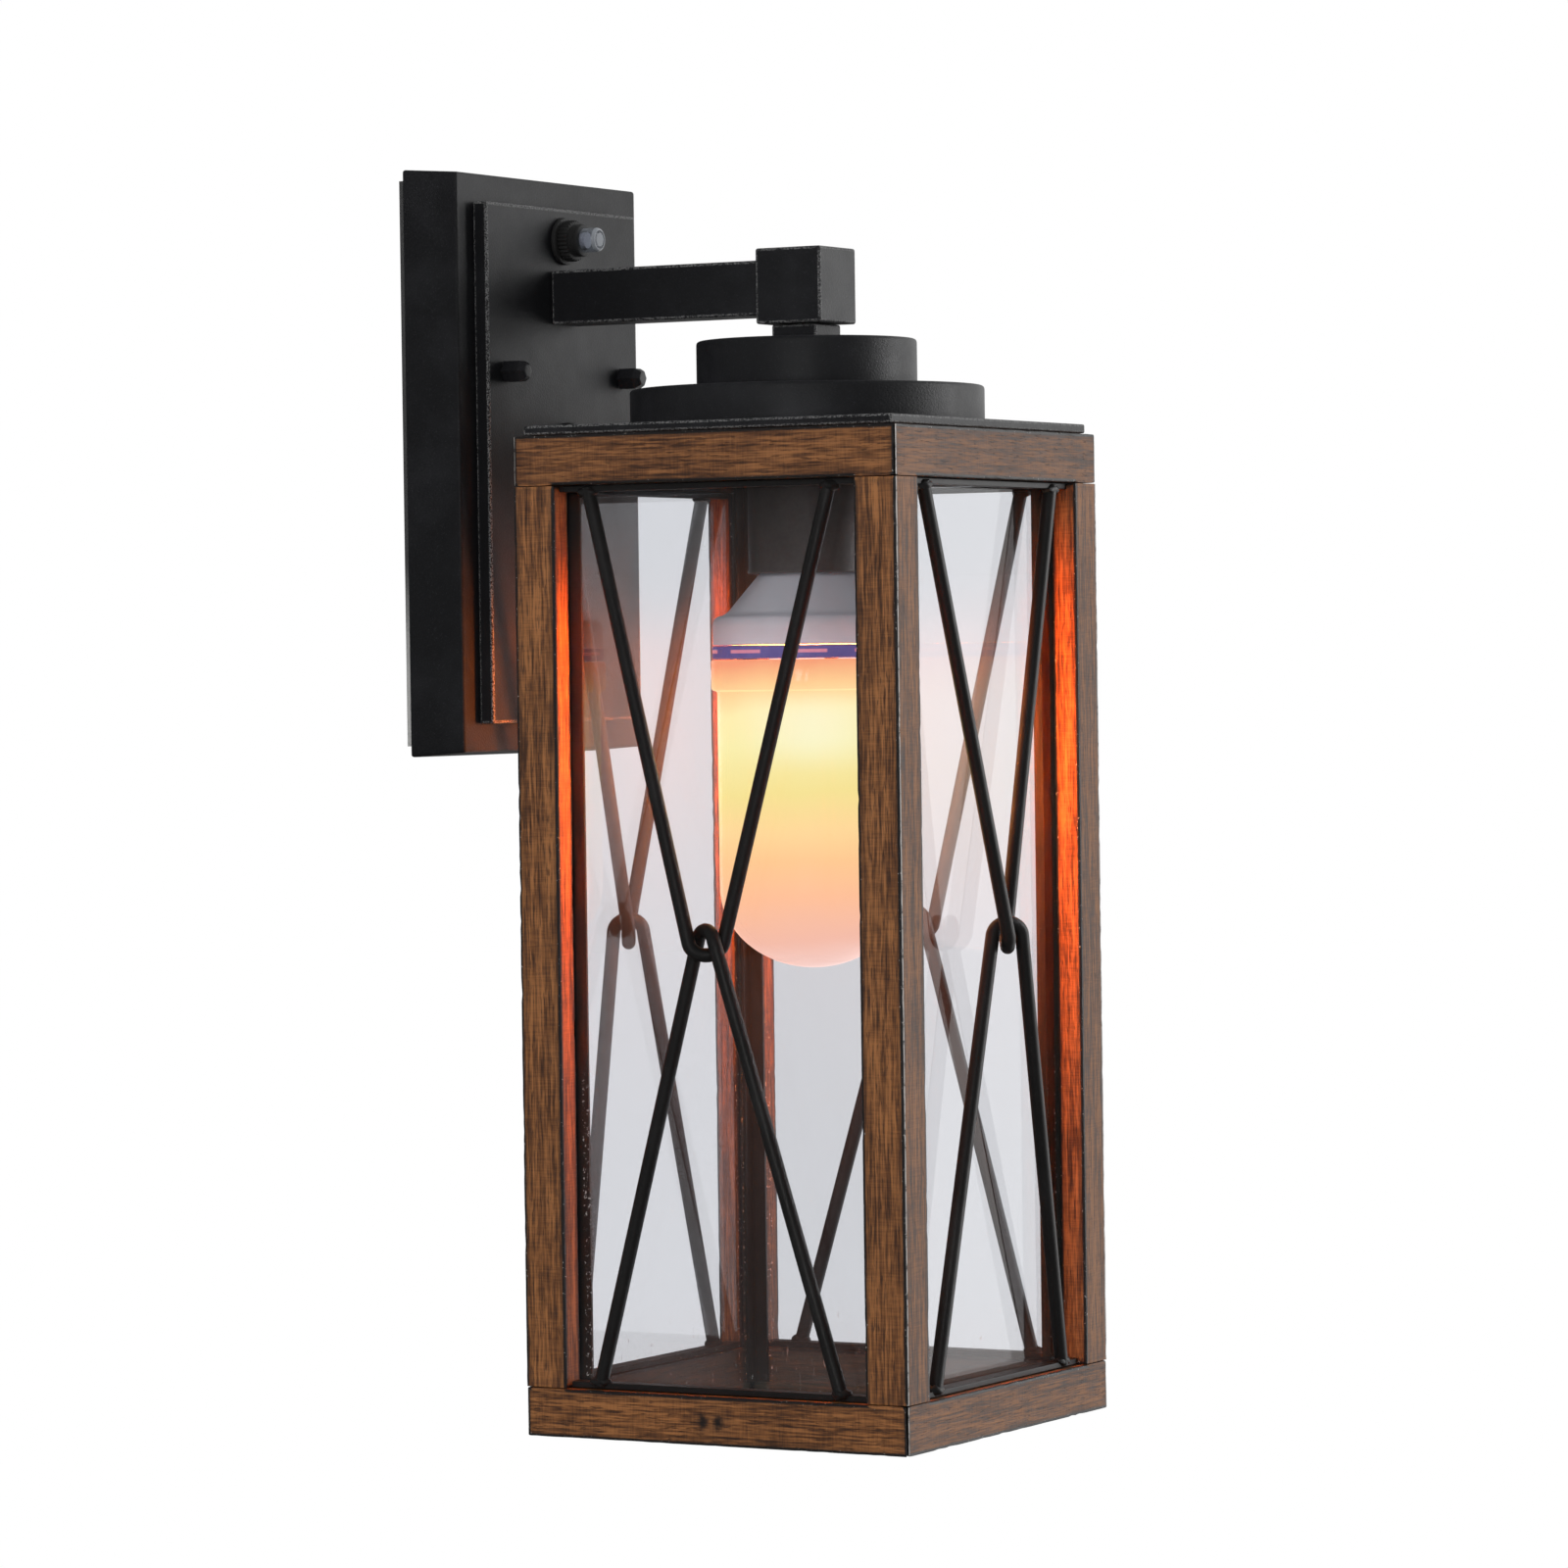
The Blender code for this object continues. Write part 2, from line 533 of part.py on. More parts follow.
def lamp():
    """The socket cup with its porcelain body and screw shell, and the lamp that screws into it."""
    at = (0, AXIS_Y, 0)
    top = CAGE_TOP
    wall = 1.0
    cup = [(PIPE_HOLE, top), (CUP_RADIUS - 1.5, top), (CUP_RADIUS, top - 1.5), (CUP_RADIUS, CUP_BOTTOM + 1.2)]
    cup += [(CUP_RADIUS + 0.3, CUP_BOTTOM + 0.8), (CUP_RADIUS + 0.3, CUP_BOTTOM)]
    cup += [(CUP_RADIUS - wall, CUP_BOTTOM), (CUP_RADIUS - wall, top - wall), (PIPE_HOLE, top - wall)]
    turned("socket_cup", cup, CUP_METAL, at)
    body_low = CUP_BOTTOM + 5.9
    shelf = SHELL_TOP + GAP
    body = [(PIPE_HOLE, -28.2), (17.0, -28.2), (18.2, -29.4), (18.2, body_low), (14.6, body_low)]
    body += [(14.6, shelf), (PIPE_HOLE, shelf)]
    turned("socket_body", body, PORCELAIN, at, sides=24)
    shell_low = body_low + 2
    shell = [(3.0, SHELL_TOP), (14.3, SHELL_TOP), (14.3, shell_low), (13.6, shell_low), (13.6, -39.0), (3.0, -39.0)]
    turned("socket_shell", shell, BRASS, at, sides=24)

    base = [(0, BASE_TOP), (3.5, BASE_TOP), (4.6, BASE_TOP - 1.5), (11.0, BASE_TOP - 5.0)]
    turns = 5
    pitch = 3.4
    for i in range(turns):
        crest = BASE_TOP - 6.5 - pitch * i
        base += [(12.4, crest + pitch / 4), (13.1, crest - pitch / 4)]
    base += [(12.9, BULB_NECK + GAP), (0, BULB_NECK + GAP)]
    turned("bulb_base", base, ZINC, at, sides=24)
    housing = [(0, BULB_NECK), (13.8, BULB_NECK), (16.5, CUP_BOTTOM), (27.5, CUP_BOTTOM - 13.0)]
    housing += [(31.0, BULB_SHOULDER + 1.0), (BULB_RADIUS, BULB_SHOULDER - 1.0), (BULB_RADIUS, BAND_TOP + GAP)]
    housing += [(0, BAND_TOP + GAP)]
    turned("bulb_housing", housing, BULB_WHITE, at)
    turned("bulb_band", tube(BULB_RADIUS + 0.2, 26, COLLAR_TOP + GAP, BAND_TOP), BULB_BAND, at)

    skin = 1.5
    inner = GLOBE_RADIUS - skin
    middle = GLOBE_BOTTOM + GLOBE_DROP
    shell = [(inner * math.cos(a), middle + (GLOBE_DROP - skin) * math.sin(a)) for a in arc(-90, 0, 6)]
    shell[0] = (0, GLOBE_BOTTOM + skin)
    shell += [(inner, COLLAR_TOP), (COLLAR_RADIUS, COLLAR_TOP), (COLLAR_RADIUS, GLOBE_TOP)]
    shell += [(GLOBE_RADIUS, GLOBE_TOP - 0.6)]
    shell += [(GLOBE_RADIUS * math.cos(a), middle + GLOBE_DROP * math.sin(a)) for a in arc(0, -90, 9)]
    shell[-1] = (0, GLOBE_BOTTOM)
    turned("bulb_diffuser", shell, DIFFUSER, at)


wall_side()
photocell()
cap(arm())
cage()
grilles()
lamp()
for part in PARTS.objects:
    part.data.shade_smooth()
    part.data.set_sharp_from_angle(angle=math.radians(35))
bpy.context.view_layer.update()
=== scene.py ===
# %% [markdown]
# An outdoor wall lantern. A cast backplate and a square arm carry a round two-tier cap. Under it hangs a
# square cage of brushed wood with four clear panes, hooked iron rods on each face, and a coloured lamp
# open to the air below. The working model is loaded first and never changes: it says where every part is
# and what moves. Everything below is measured from it, so a finished piece sits exactly where the working
# part does.

# %% Load the working model
import math

import bmesh
import bpy
import numpy as np
from mathutils import Matrix, Vector

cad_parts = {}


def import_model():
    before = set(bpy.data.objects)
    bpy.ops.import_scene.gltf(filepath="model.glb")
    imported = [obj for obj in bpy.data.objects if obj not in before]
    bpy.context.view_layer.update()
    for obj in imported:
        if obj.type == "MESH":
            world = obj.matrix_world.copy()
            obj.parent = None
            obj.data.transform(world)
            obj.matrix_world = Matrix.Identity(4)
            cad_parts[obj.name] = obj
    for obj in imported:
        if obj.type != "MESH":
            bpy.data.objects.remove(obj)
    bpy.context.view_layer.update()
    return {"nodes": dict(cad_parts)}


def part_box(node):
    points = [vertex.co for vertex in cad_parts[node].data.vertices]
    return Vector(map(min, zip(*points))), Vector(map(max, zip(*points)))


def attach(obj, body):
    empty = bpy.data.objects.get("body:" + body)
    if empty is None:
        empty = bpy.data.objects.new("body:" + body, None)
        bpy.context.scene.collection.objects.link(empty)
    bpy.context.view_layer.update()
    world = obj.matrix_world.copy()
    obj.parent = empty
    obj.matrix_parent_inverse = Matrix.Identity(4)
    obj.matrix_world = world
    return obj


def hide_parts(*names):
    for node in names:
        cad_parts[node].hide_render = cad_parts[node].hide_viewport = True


MM = 0.001

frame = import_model()
nodes = frame["nodes"]


def box_mm(name):
    """A working part's lowest and highest corner, in mm."""
    low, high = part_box(name)
    return np.array(low) / MM, np.array(high) / MM


# %% [markdown]
# The lantern's own measures. The cage is square about one upright axis, so its half width and that axis
# give most places; the rest is read from the boxes of the working parts.

# %% Measure the cage
HALF = -box_mm("top_rail_left")[0][0]
AXIS_Y = float(np.mean([box_mm("top_rail_front")[0][1], box_mm("top_rail_rear")[1][1]]))
STILE = HALF + box_mm("post_front_left")[1][0]
WOOD = box_mm("top_rail_front")[1][1] - box_mm("top_rail_front")[0][1]
CAGE_TOP = box_mm("top_rail_front")[1][2]
CAGE_BOTTOM = box_mm("bottom_rail_front")[0][2]
OPENING_TOP = box_mm("top_rail_front")[0][2]
OPENING_LOW = box_mm("bottom_rail_front")[1][2]
SEAM = 0.3  # gap between neighbouring parts
FACES = ("front", "right", "rear", "left")
print("half width", HALF, "axis", AXIS_Y, "stile", STILE, "wood", WOOD, "opening", OPENING_TOP, OPENING_LOW)


def quarter_turned(points, turns):
    """Points of the front face turned about the cage's axis by a number of quarter turns, from +X to +Y.

    From the axis, a point (x, y) goes to (x cos a - y sin a, x sin a + y cos a).
    """
    x, y = points[..., 0], points[..., 1] - AXIS_Y
    angle = turns * math.pi / 2
    turned = np.array(points, float)
    turned[..., 0] = x * round(math.cos(angle)) - y * round(math.sin(angle))
    turned[..., 1] = x * round(math.sin(angle)) + y * round(math.cos(angle)) + AXIS_Y
    return turned


# %% [markdown]
# The camera stands to the lantern's left and a little in front, level with its upper half and two metres
# off, with a long lens, so upright edges stay nearly parallel. Its heading, tilt and roll are built into
# one turn matrix.

# %% Place the camera
CAMERA_AT = Vector((-1.764587, -1.103958, -0.096279))
HEADING = math.radians(60.605)  # from +Y towards +X
TILT = math.radians(-1.147)
ROLL = math.radians(-0.798)
LENS = 141.67


def camera_turn(heading, tilt, roll):
    """Columns are the camera's right, up and back; roll turns the first two about the third."""
    ahead = Vector((math.sin(heading) * math.cos(tilt), math.cos(heading) * math.cos(tilt), math.sin(tilt)))
    right = Vector((math.cos(heading), -math.sin(heading), 0))
    up = right.cross(ahead)
    rolled_right = math.cos(roll) * right + math.sin(roll) * up
    rolled_up = math.cos(roll) * up - math.sin(roll) * right
    return Matrix((rolled_right, rolled_up, -ahead)).transposed()


camera = bpy.data.objects.new("camera", bpy.data.cameras.new("camera"))
camera.data.lens = LENS
camera.data.sensor_width = 36.0
camera.data.clip_end = 60.0
camera.matrix_world = Matrix.Translation(CAMERA_AT) @ camera_turn(HEADING, TILT, ROLL).to_4x4()
bpy.context.scene.collection.objects.link(camera)
bpy.context.scene.camera = camera
print("camera at", [round(v, 3) for v in CAMERA_AT], "lens", LENS)

# %% [markdown]
# A finish is a small net of shader nodes. Written as a net it is hard to read, so a class wraps a node's
# output and lets ordinary sums add the Math nodes: `1 - mask` makes a Subtract node. One method adds
# every other kind of node.


# %% Shader sums
class Value:
    """A shader value; a sum with it adds a Math node to its finish."""

    def __init__(self, finish, socket):
        self.finish = finish
        self.socket = socket

    def __add__(self, other):
        return self.finish.math("ADD", self, other)

    def __radd__(self, other):
        return self.finish.math("ADD", other, self)

    def __sub__(self, other):
        return self.finish.math("SUBTRACT", self, other)

    def __rsub__(self, other):
        return self.finish.math("SUBTRACT", other, self)

    def __mul__(self, other):
        return self.finish.math("MULTIPLY", self, other)

    def __rmul__(self, other):
        return self.finish.math("MULTIPLY", other, self)

    def __truediv__(self, other):
        return self.finish.math("DIVIDE", self, other)


class Finish:
    """A material under construction, with the textures that this lantern's finishes share."""

    def __init__(self, name):
        self.material = bpy.data.materials.new(name)
        self.material.use_nodes = True
        self.tree = self.material.node_tree
        self.tree.nodes.clear()
        here = self.node("ShaderNodeTexCoord", out="Object")
        self.here = self.node("ShaderNodeVectorMath", {0: here, "Scale": 1 / MM}, operation="SCALE")

    def node(self, kind, sockets=None, out=0, ramp=None, **settings):
        """Adds one node: settings, a ramp's stops from 0 to 1, then the values or links of its sockets."""
        made = self.tree.nodes.new(kind)
        for name, setting in settings.items():
            setattr(made, name, setting)
        if ramp:
            stops = made.color_ramp.elements
            stops[0].color = (*ramp[0][1], 1.0)
            stops[-1].color = (*ramp[-1][1], 1.0)
            for place, colour in ramp[1:-1]:
                stops.new(place).color = (*colour, 1.0)
        for name, given in (sockets or {}).items():
            if isinstance(given, Value):
                self.tree.links.new(given.socket, made.inputs[name])
            elif isinstance(given, tuple) and made.inputs[name].type == "RGBA":
                made.inputs[name].default_value = (*given, 1.0)
            else:
                made.inputs[name].default_value = given
        return Value(self, made.outputs[out]) if len(made.outputs) else None

    def vector(self, operation, *terms, out=0):
        """A Vector Math node: the same sum on each of three numbers, or a length."""
        return self.node("ShaderNodeVectorMath", dict(enumerate(terms)), out, operation=operation)

    def math(self, operation, *terms):
        """A Math node: one sum of numbers and shader values."""
        return self.node("ShaderNodeMath", dict(enumerate(terms)), operation=operation)

    def part(self, axis):
        """One coordinate of the place, in mm."""
        return self.node("ShaderNodeSeparateXYZ", {0: self.here}, out=axis)

    def depths(self):
        """How far the place lies in from the cage's side faces, and from its front and rear faces, in mm."""
        beside = HALF - self.math("ABSOLUTE", self.part("X"))
        before = HALF - self.math("ABSOLUTE", self.part("Y") - AXIS_Y)
        return beside, before

    def bearing(self):
        """The angle round the cage's axis, in radians from +X."""
        return self.math("ARCTAN2", self.part("Y") - AXIS_Y, self.part("X"))

    def stretched(self, x, y, z, shift=0.0):
        """The place, scaled by a different number along each axis, as texture coordinates."""
        return self.vector("ADD", self.vector("MULTIPLY", self.here, (x, y, z)), (shift, shift, shift))

    def noise(self, at, scale=1.0, detail=2.0, rough=0.5, warp=0.0):
        """Cloudy noise from 0 to 1 round a mean of a half; a scale of 1 has lumps about a mm across."""
        sockets = {"Vector": at, "Scale": scale, "Detail": detail, "Roughness": rough, "Distortion": warp}
        return self.node("ShaderNodeTexNoise", sockets, out="Fac")

    def step(self, value, low, high):
        """A smooth step: 0 below low, 1 above high."""
        sockets = {"Value": value, "From Min": low, "From Max": high}
        return self.node("ShaderNodeMapRange", sockets, interpolation_type="SMOOTHSTEP")

    def mix(self, share, first, second):
        """The first colour where the share is 0 and the second where it is 1."""
        return self.node("ShaderNodeMix", {0: share, 6: first, 7: second}, 2, data_type="RGBA")

    def measure(self, name):
        """A number stored on the piece's points."""
        return self.node("ShaderNodeAttribute", out="Fac", attribute_name=name)

    def bump(self, height, depth):
        """A bump whose height of 1 stands for a depth in mm."""
        return self.node("ShaderNodeBump", {"Strength": 1.0, "Distance": depth * MM, "Height": height})

    def shade(self, **sockets):
        """The one shader of a plain finish; the names are its sockets, with _ for a space."""
        named = {name.replace("_", " "): given for name, given in sockets.items()}
        shader = self.node("ShaderNodeBsdfPrincipled", named)
        return self.show(shader)

    def show(self, shader):
        """Sends a shader to the output and gives the finished material."""
        self.node("ShaderNodeOutputMaterial", {"Surface": shader})
        print("finish", self.material.name, "nodes", len(self.tree.nodes))
        return self.material


# %% [markdown]
# The wood's paint: an orange-brown ground, brushed while wet so that fine dark streaks run along each
# member, with short cross strokes and a dark worn line along every arris. Streaks are noise squeezed
# along the member. The dark line reads a measure stored on the mesh, the distance to the nearest arris,
# because the members are long and thin and no texture knows where their edges are. The sides that face
# into the cage are painted dark grey-green and left unbrushed: part dark stain, part painted shade that
# also offsets the lamp's red light. Beside the front's upright corners a thin pale line is painted: a
# painted highlight that stands for the light their rounded edges catch.


# %% The wood's paint
WOOD_DARK = (0.030, 0.011, 0.005)
WOOD_MID = (0.165, 0.060, 0.015)
WOOD_LIGHT = (0.345, 0.136, 0.038)
EDGE_BLACK = (0.006, 0.005, 0.005)
INNER_STAIN_AND_SHADE = (0.034, 0.058, 0.050)
# A pale colour used for real wear chips and for a painted highlight line.
WEAR_AND_HIGHLIGHT_WHITE = (0.62, 0.58, 0.54)
KNOT_AT = (-HALF, AXIS_Y + 1.4, CAGE_BOTTOM + 7.5)  # the middle of a pair of knots low on the left face
KNOT_HALF_GAP = (0.0, 2.7, 0.0)


def wood_finish(name, along):
    """Brushed paint whose streaks run along one axis: 0 is x, 1 is y and 2 is z."""
    made = Finish(name)

    def streaks(length, width, shift, detail=3.0, warp=0.0):
        scales = [1 / width] * 3
        scales[along] = 1 / length
        return made.noise(made.stretched(*scales, shift), 1.0, detail, 0.6, warp)

    cloud = made.noise(made.here, 0.03, 3.0, 0.6)
    broad = streaks(60.0, 3.2, 3.1, 3.0, 0.3)
    fine = streaks(20.0, 0.80, 11.7, 3.0)
    dashes = streaks(7.5, 0.60, 23.5, 1.0)
    across = [1 / 0.5 if axis == along else 1 / 7.0 for axis in range(3)]
    cross = made.noise(made.stretched(*across, 5.3), 1.0, 2.0)
    tone = 0.20 * broad + 0.40 * fine + 0.27 * dashes + 0.13 * cross + 0.12 * (cloud - 0.5)
    ground = made.node(
        "ShaderNodeValToRGB",
        {"Fac": made.step(tone, 0.36, 0.63)},
        ramp=[(0.0, WOOD_DARK), (0.5, WOOD_MID), (1.0, WOOD_LIGHT)],
    )
    pores = made.step(streaks(5.5, 0.7, 41.3, 2.0), 0.58, 0.70)
    ground = made.mix(0.75 * pores, ground, WOOD_DARK)
    smear = made.step(made.noise(made.stretched(0.02, 0.02, 0.02, 9.1), 1.0, 4.0, 0.7), 0.58, 0.74)
    ground = made.mix(0.22 * smear, ground, WOOD_DARK)
    shaded_top = made.step(made.part("Z"), OPENING_TOP - 3.0, OPENING_TOP + 5.0)
    ground = made.mix(0.2 * shaded_top, ground, WOOD_DARK)

    knot_folded = made.vector("ABSOLUTE", made.vector("SUBTRACT", made.here, KNOT_AT))
    knot_centred = made.vector("SUBTRACT", knot_folded, KNOT_HALF_GAP)
    knot_round = made.vector("MULTIPLY", knot_centred, (0.2, 1.0, 0.75))
    knot_far = made.vector("LENGTH", knot_round, out="Value")
    knot_edge = knot_far + 2.6 * (made.noise(made.here, 0.6, 3.0) - 0.5)
    knot = 0.72 * (1 - made.step(knot_edge, 0.4, 2.9)) + 0.25 * (1 - made.step(knot_edge, 2.0, 7.0))
    ground = made.mix(knot, ground, EDGE_BLACK)

    beside, before = made.depths()
    # The inner faces are painted dark grey-green: part stain, part painted shade, tinted to offset the lamp's
    # red light.
    inner_stain_and_shade = made.step(made.math("MINIMUM", beside, before), WOOD - 0.9, WOOD - 0.2)
    ground = made.mix(0.72 * inner_stain_and_shade, ground, INNER_STAIN_AND_SHADE)
    arris = made.measure("arris")
    ragged = arris + 0.9 * (made.noise(made.here, 1.3, 3.0, 0.7) - 0.5)
    edge = 1 - made.step(ragged, 0.35, 1.25)
    soft_edge = 1 - made.step(arris + 2.0 * (cloud - 0.5), 0.4, 3.4)
    ground = made.mix(0.40 * soft_edge, ground, WOOD_DARK)
    ground = made.mix(edge, ground, EDGE_BLACK)
    chips = made.step(made.noise(made.here, 1.1, 2.0, 0.8), 0.66, 0.71) * (1 - made.step(arris, 0.5, 1.6))
    ground = made.mix(0.8 * chips, ground, WEAR_AND_HIGHLIGHT_WHITE)
    # Painted highlight: a thin pale line beside the front faces' upright corners, standing for the light
    # their rounded edges catch.
    on_front = 1 - made.step(before, 0.10, 0.30)
    highlight_line = made.step(beside, 0.35, 0.55) * (1 - made.step(beside, 0.85, 1.15)) * on_front
    painted_highlight = highlight_line * made.step(made.noise(made.here, 0.35, 3.0, 0.7), 0.34, 0.50)
    ground = made.mix(0.85 * painted_highlight, ground, WEAR_AND_HIGHLIGHT_WHITE)

    height = 0.5 * fine + 0.3 * dashes + 0.2 * broad - 0.4 * pores
    return made.shade(
        Base_Color=ground,
        Roughness=0.46 + 0.18 * dashes + 0.1 * (1 - edge),
        Normal=made.bump(height, 0.22),
        Specular_IOR_Level=1.0,
    )


WOOD_X = wood_finish("wood_paint_across", 0)
WOOD_Y = wood_finish("wood_paint_out", 1)
WOOD_Z = wood_finish("wood_paint_up", 2)

# %% [markdown]
# The backplate, arm and cap are sprayed with black powder coat: a fine orange-peel skin with a slight
# sparkle. A lighter broken line is painted along each arris: part wear, part painted highlight of the rounded
# edge.


# %% Powder coat and iron
def coat_finish(name, base, low, high, grain, depth, wear_and_edge_highlight=0.0, shine=0.5):
    """Black sprayed coat: dark with fine grain, dust in patches, and a lighter broken line painted on
    arrises, part wear and part painted highlight.
    """
    made = Finish(name)
    peel = made.noise(made.here, grain, 2.0, 0.6)
    cloud = made.noise(made.here, 0.035, 3.0, 0.6)
    speck = made.step(made.noise(made.here, 2.1, 2.0), 0.60, 0.74)
    dust = made.step(cloud, 0.42, 0.78)
    colour = made.mix(0.55 * dust + 0.35 * peel, tuple(0.7 * c for c in base), tuple(2.2 * c for c in base))
    colour = made.mix(0.40 * speck, colour, tuple(6.0 * c for c in base))
    # A lighter broken line along each arris: part wear, part painted highlight of the rounded edge.
    if wear_and_edge_highlight:
        line = 1 - made.step(made.measure("arris"), 0.15, 0.60)
        broken = made.step(made.noise(made.here, 1.7, 2.0, 0.7), 0.44, 0.58)
        colour = made.mix(wear_and_edge_highlight * line * broken, colour, (0.26, 0.26, 0.26))
    return made.shade(
        Base_Color=colour,
        Roughness=low + (high - low) * made.noise(made.here, 0.11, 3.0, 0.6) + 0.05 * peel,
        Normal=made.bump(peel, depth),
        Specular_IOR_Level=shine,
    )


COAT = coat_finish("powder_coat", (0.0080, 0.0082, 0.0094), 0.36, 0.52, 1.3, 0.13, 0.5)
# Painted shade: a slightly darker, less shiny copy of the coat for the backplate, where the arm and cage keep
# light off it.
SHADED_BACK_COAT = coat_finish("powder_coat_back_shaded", (0.0072, 0.0074, 0.0084), 0.37, 0.53, 1.3, 0.09, 0.5, 0.30)
IRON = coat_finish("painted_iron", (0.0075, 0.0072, 0.0072), 0.30, 0.52, 1.2, 0.06)


# %% [markdown]
# The smaller metals and plastics. Zinc plate is bright with a faint crystal mottling, the socket cup is a
# dark bronze, and foam and rubber are dull with pores.


# %% Metals, foam, rubber and porcelain
def mottled(name, dark, light, scale, low, high, metal=0.0, depth=0.03):
    """A surface that wanders between two colours and two roughnesses, with a matching bump."""
    made = Finish(name)
    cloud = made.noise(made.here, scale, 3.0, 0.6)
    fine = made.noise(made.here, 6 * scale, 2.0, 0.6)
    return made.shade(
        Base_Color=made.mix(0.6 * cloud + 0.4 * fine, dark, light),
        Roughness=low + (high - low) * cloud,
        Metallic=metal,
        Normal=made.bump(fine, depth),
    )


ZINC = mottled("zinc_plate", (0.34, 0.34, 0.33), (0.62, 0.62, 0.60), 0.5, 0.28, 0.5, 1.0)
BRONZE = mottled("dark_bronze", (0.105, 0.090, 0.084), (0.215, 0.190, 0.178), 0.12, 0.30, 0.48, 0.5)


def foam_finish():
    """Grey foam with pores; its outer rim is painted dark as a painted shadow line, except near the bottom.
    """
    made = Finish("grey_foam")
    pores = made.noise(made.here, 1.6, 3.0, 0.7)
    side = box_mm("wall_gasket")[1][0]
    # Painted shadow: the foam's outer rim is darkened except near the bottom.
    rim = made.step(made.math("ABSOLUTE", made.part("X")), side - 1.2, side - 0.7)
    out_of_painted_shadow = 1 - rim * made.step(made.part("Z") + 30.0 * made.noise(made.here, 0.05, 2.0), -95.0, -45.0)
    colour = made.mix(out_of_painted_shadow, (0.035, 0.035, 0.036), (0.46, 0.46, 0.45))
    return made.shade(
        Base_Color=made.mix(0.4 * pores, colour, (0.10, 0.10, 0.10)),
        Roughness=0.82 + 0.12 * pores,
        Normal=made.bump(pores, 0.3),
    )


FOAM = foam_finish()
RUBBER = mottled("black_rubber", (0.006, 0.006, 0.006), (0.022, 0.022, 0.022), 0.9, 0.5, 0.8, 0.0, 0.06)
PORCELAIN = mottled("porcelain", (0.62, 0.60, 0.55), (0.80, 0.79, 0.75), 0.2, 0.15, 0.35, 0.0, 0.02)
BRASS = mottled("brass", (0.40, 0.24, 0.09), (0.66, 0.44, 0.18), 0.5, 0.25, 0.45, 1.0)
SENSOR = mottled("sensor_face", (0.16, 0.16, 0.18), (0.42, 0.42, 0.46), 0.8, 0.25, 0.5)


# %% [markdown]
# The panes are thin clear glass. Light mostly passes straight through and a share mirrors off, more at a
# slant: a Mix Shader between Transparent and Glossy does this and lets daylight into the cage. Its factor
# is Schlick's rule, 0.045 + 0.955 (1 - cos)^5, which is the same on both sides of the pane. A little dust
# clings near the channels.


# %% Glass
def glass_finish():
    """Thin clear glass: dust and scratches near the bottom, and crumbs of sealant beside the corners."""
    made = Finish("pane_glass")
    clear = made.node("ShaderNodeBsdfTransparent", {"Color": (0.922, 0.927, 0.940)})
    mirror = made.node("ShaderNodeBsdfGlossy", {"Color": (0.95, 0.95, 0.95), "Roughness": 0.015})
    slant = made.node("ShaderNodeLayerWeight", {"Blend": 0.5}, out="Facing")
    share = 0.045 + 0.955 * made.math("POWER", slant, 5.0)
    pane = made.node("ShaderNodeMixShader", {0: share, 1: clear, 2: mirror})
    height = made.part("Z")
    low = 1 - made.step(height, OPENING_LOW - 2.0, OPENING_LOW + 26.0)
    beside, before = made.depths()
    from_corner = made.math("MAXIMUM", beside, before)
    sealed = made.step(from_corner, 16.6, 17.2) * (1 - made.step(from_corner, 17.6, 18.8))
    flecks = made.step(made.noise(made.here, 0.8, 3.0, 0.75), 0.58, 0.64)
    crumbs = sealed * flecks * (1 - made.step(height, -260.0, -190.0))
    grains = made.step(made.noise(made.here, 0.9, 3.0, 0.75), 0.62, 0.78)
    scratches = made.step(made.noise(made.stretched(0.5, 0.5, 0.09, 2.0), 1.0, 2.0, 0.5, 2.5), 0.715, 0.73)
    dust = made.node("ShaderNodeBsdfDiffuse", {"Color": (0.62, 0.61, 0.60)})
    haze = 0.004 + 0.010 * low + 0.16 * low * grains + 0.8 * crumbs + 0.35 * low * scratches
    dusty = made.node("ShaderNodeMixShader", {0: haze, 1: pane, 2: dust})
    return made.show(dusty)


GLASS = glass_finish()


# %% [markdown]
# The lamp is a flame lamp: a frosted globe lit from inside, salmon at its neck, yellow-green and nearly
# white at the middle, then orange and pink towards the tip. The glow is an Emission colour that changes
# with height and a little round the globe, where the rows of lights inside are nearer or farther.

# %% The lamp's finishes
GLOBE_LOW, GLOBE_HIGH = box_mm("bulb_diffuser")[0][2], box_mm("bulb_diffuser")[1][2]
GLOW = [
    (0.00, (0.93, 0.62, 0.55)),
    (0.10, (0.92, 0.50, 0.38)),
    (0.24, (1.00, 0.52, 0.30)),
    (0.36, (1.00, 0.58, 0.27)),
    (0.46, (1.00, 0.68, 0.30)),
    (0.58, (0.92, 0.76, 0.28)),
    (0.74, (0.95, 0.86, 0.40)),
    (0.84, (1.00, 0.86, 0.42)),
    (0.92, (1.00, 0.62, 0.28)),
    (1.00, (0.92, 0.32, 0.16)),
]
SEEN_FROM = math.atan2(CAMERA_AT.y / MM - AXIS_Y, CAMERA_AT.x / MM)  # the row of lights that faces the viewer


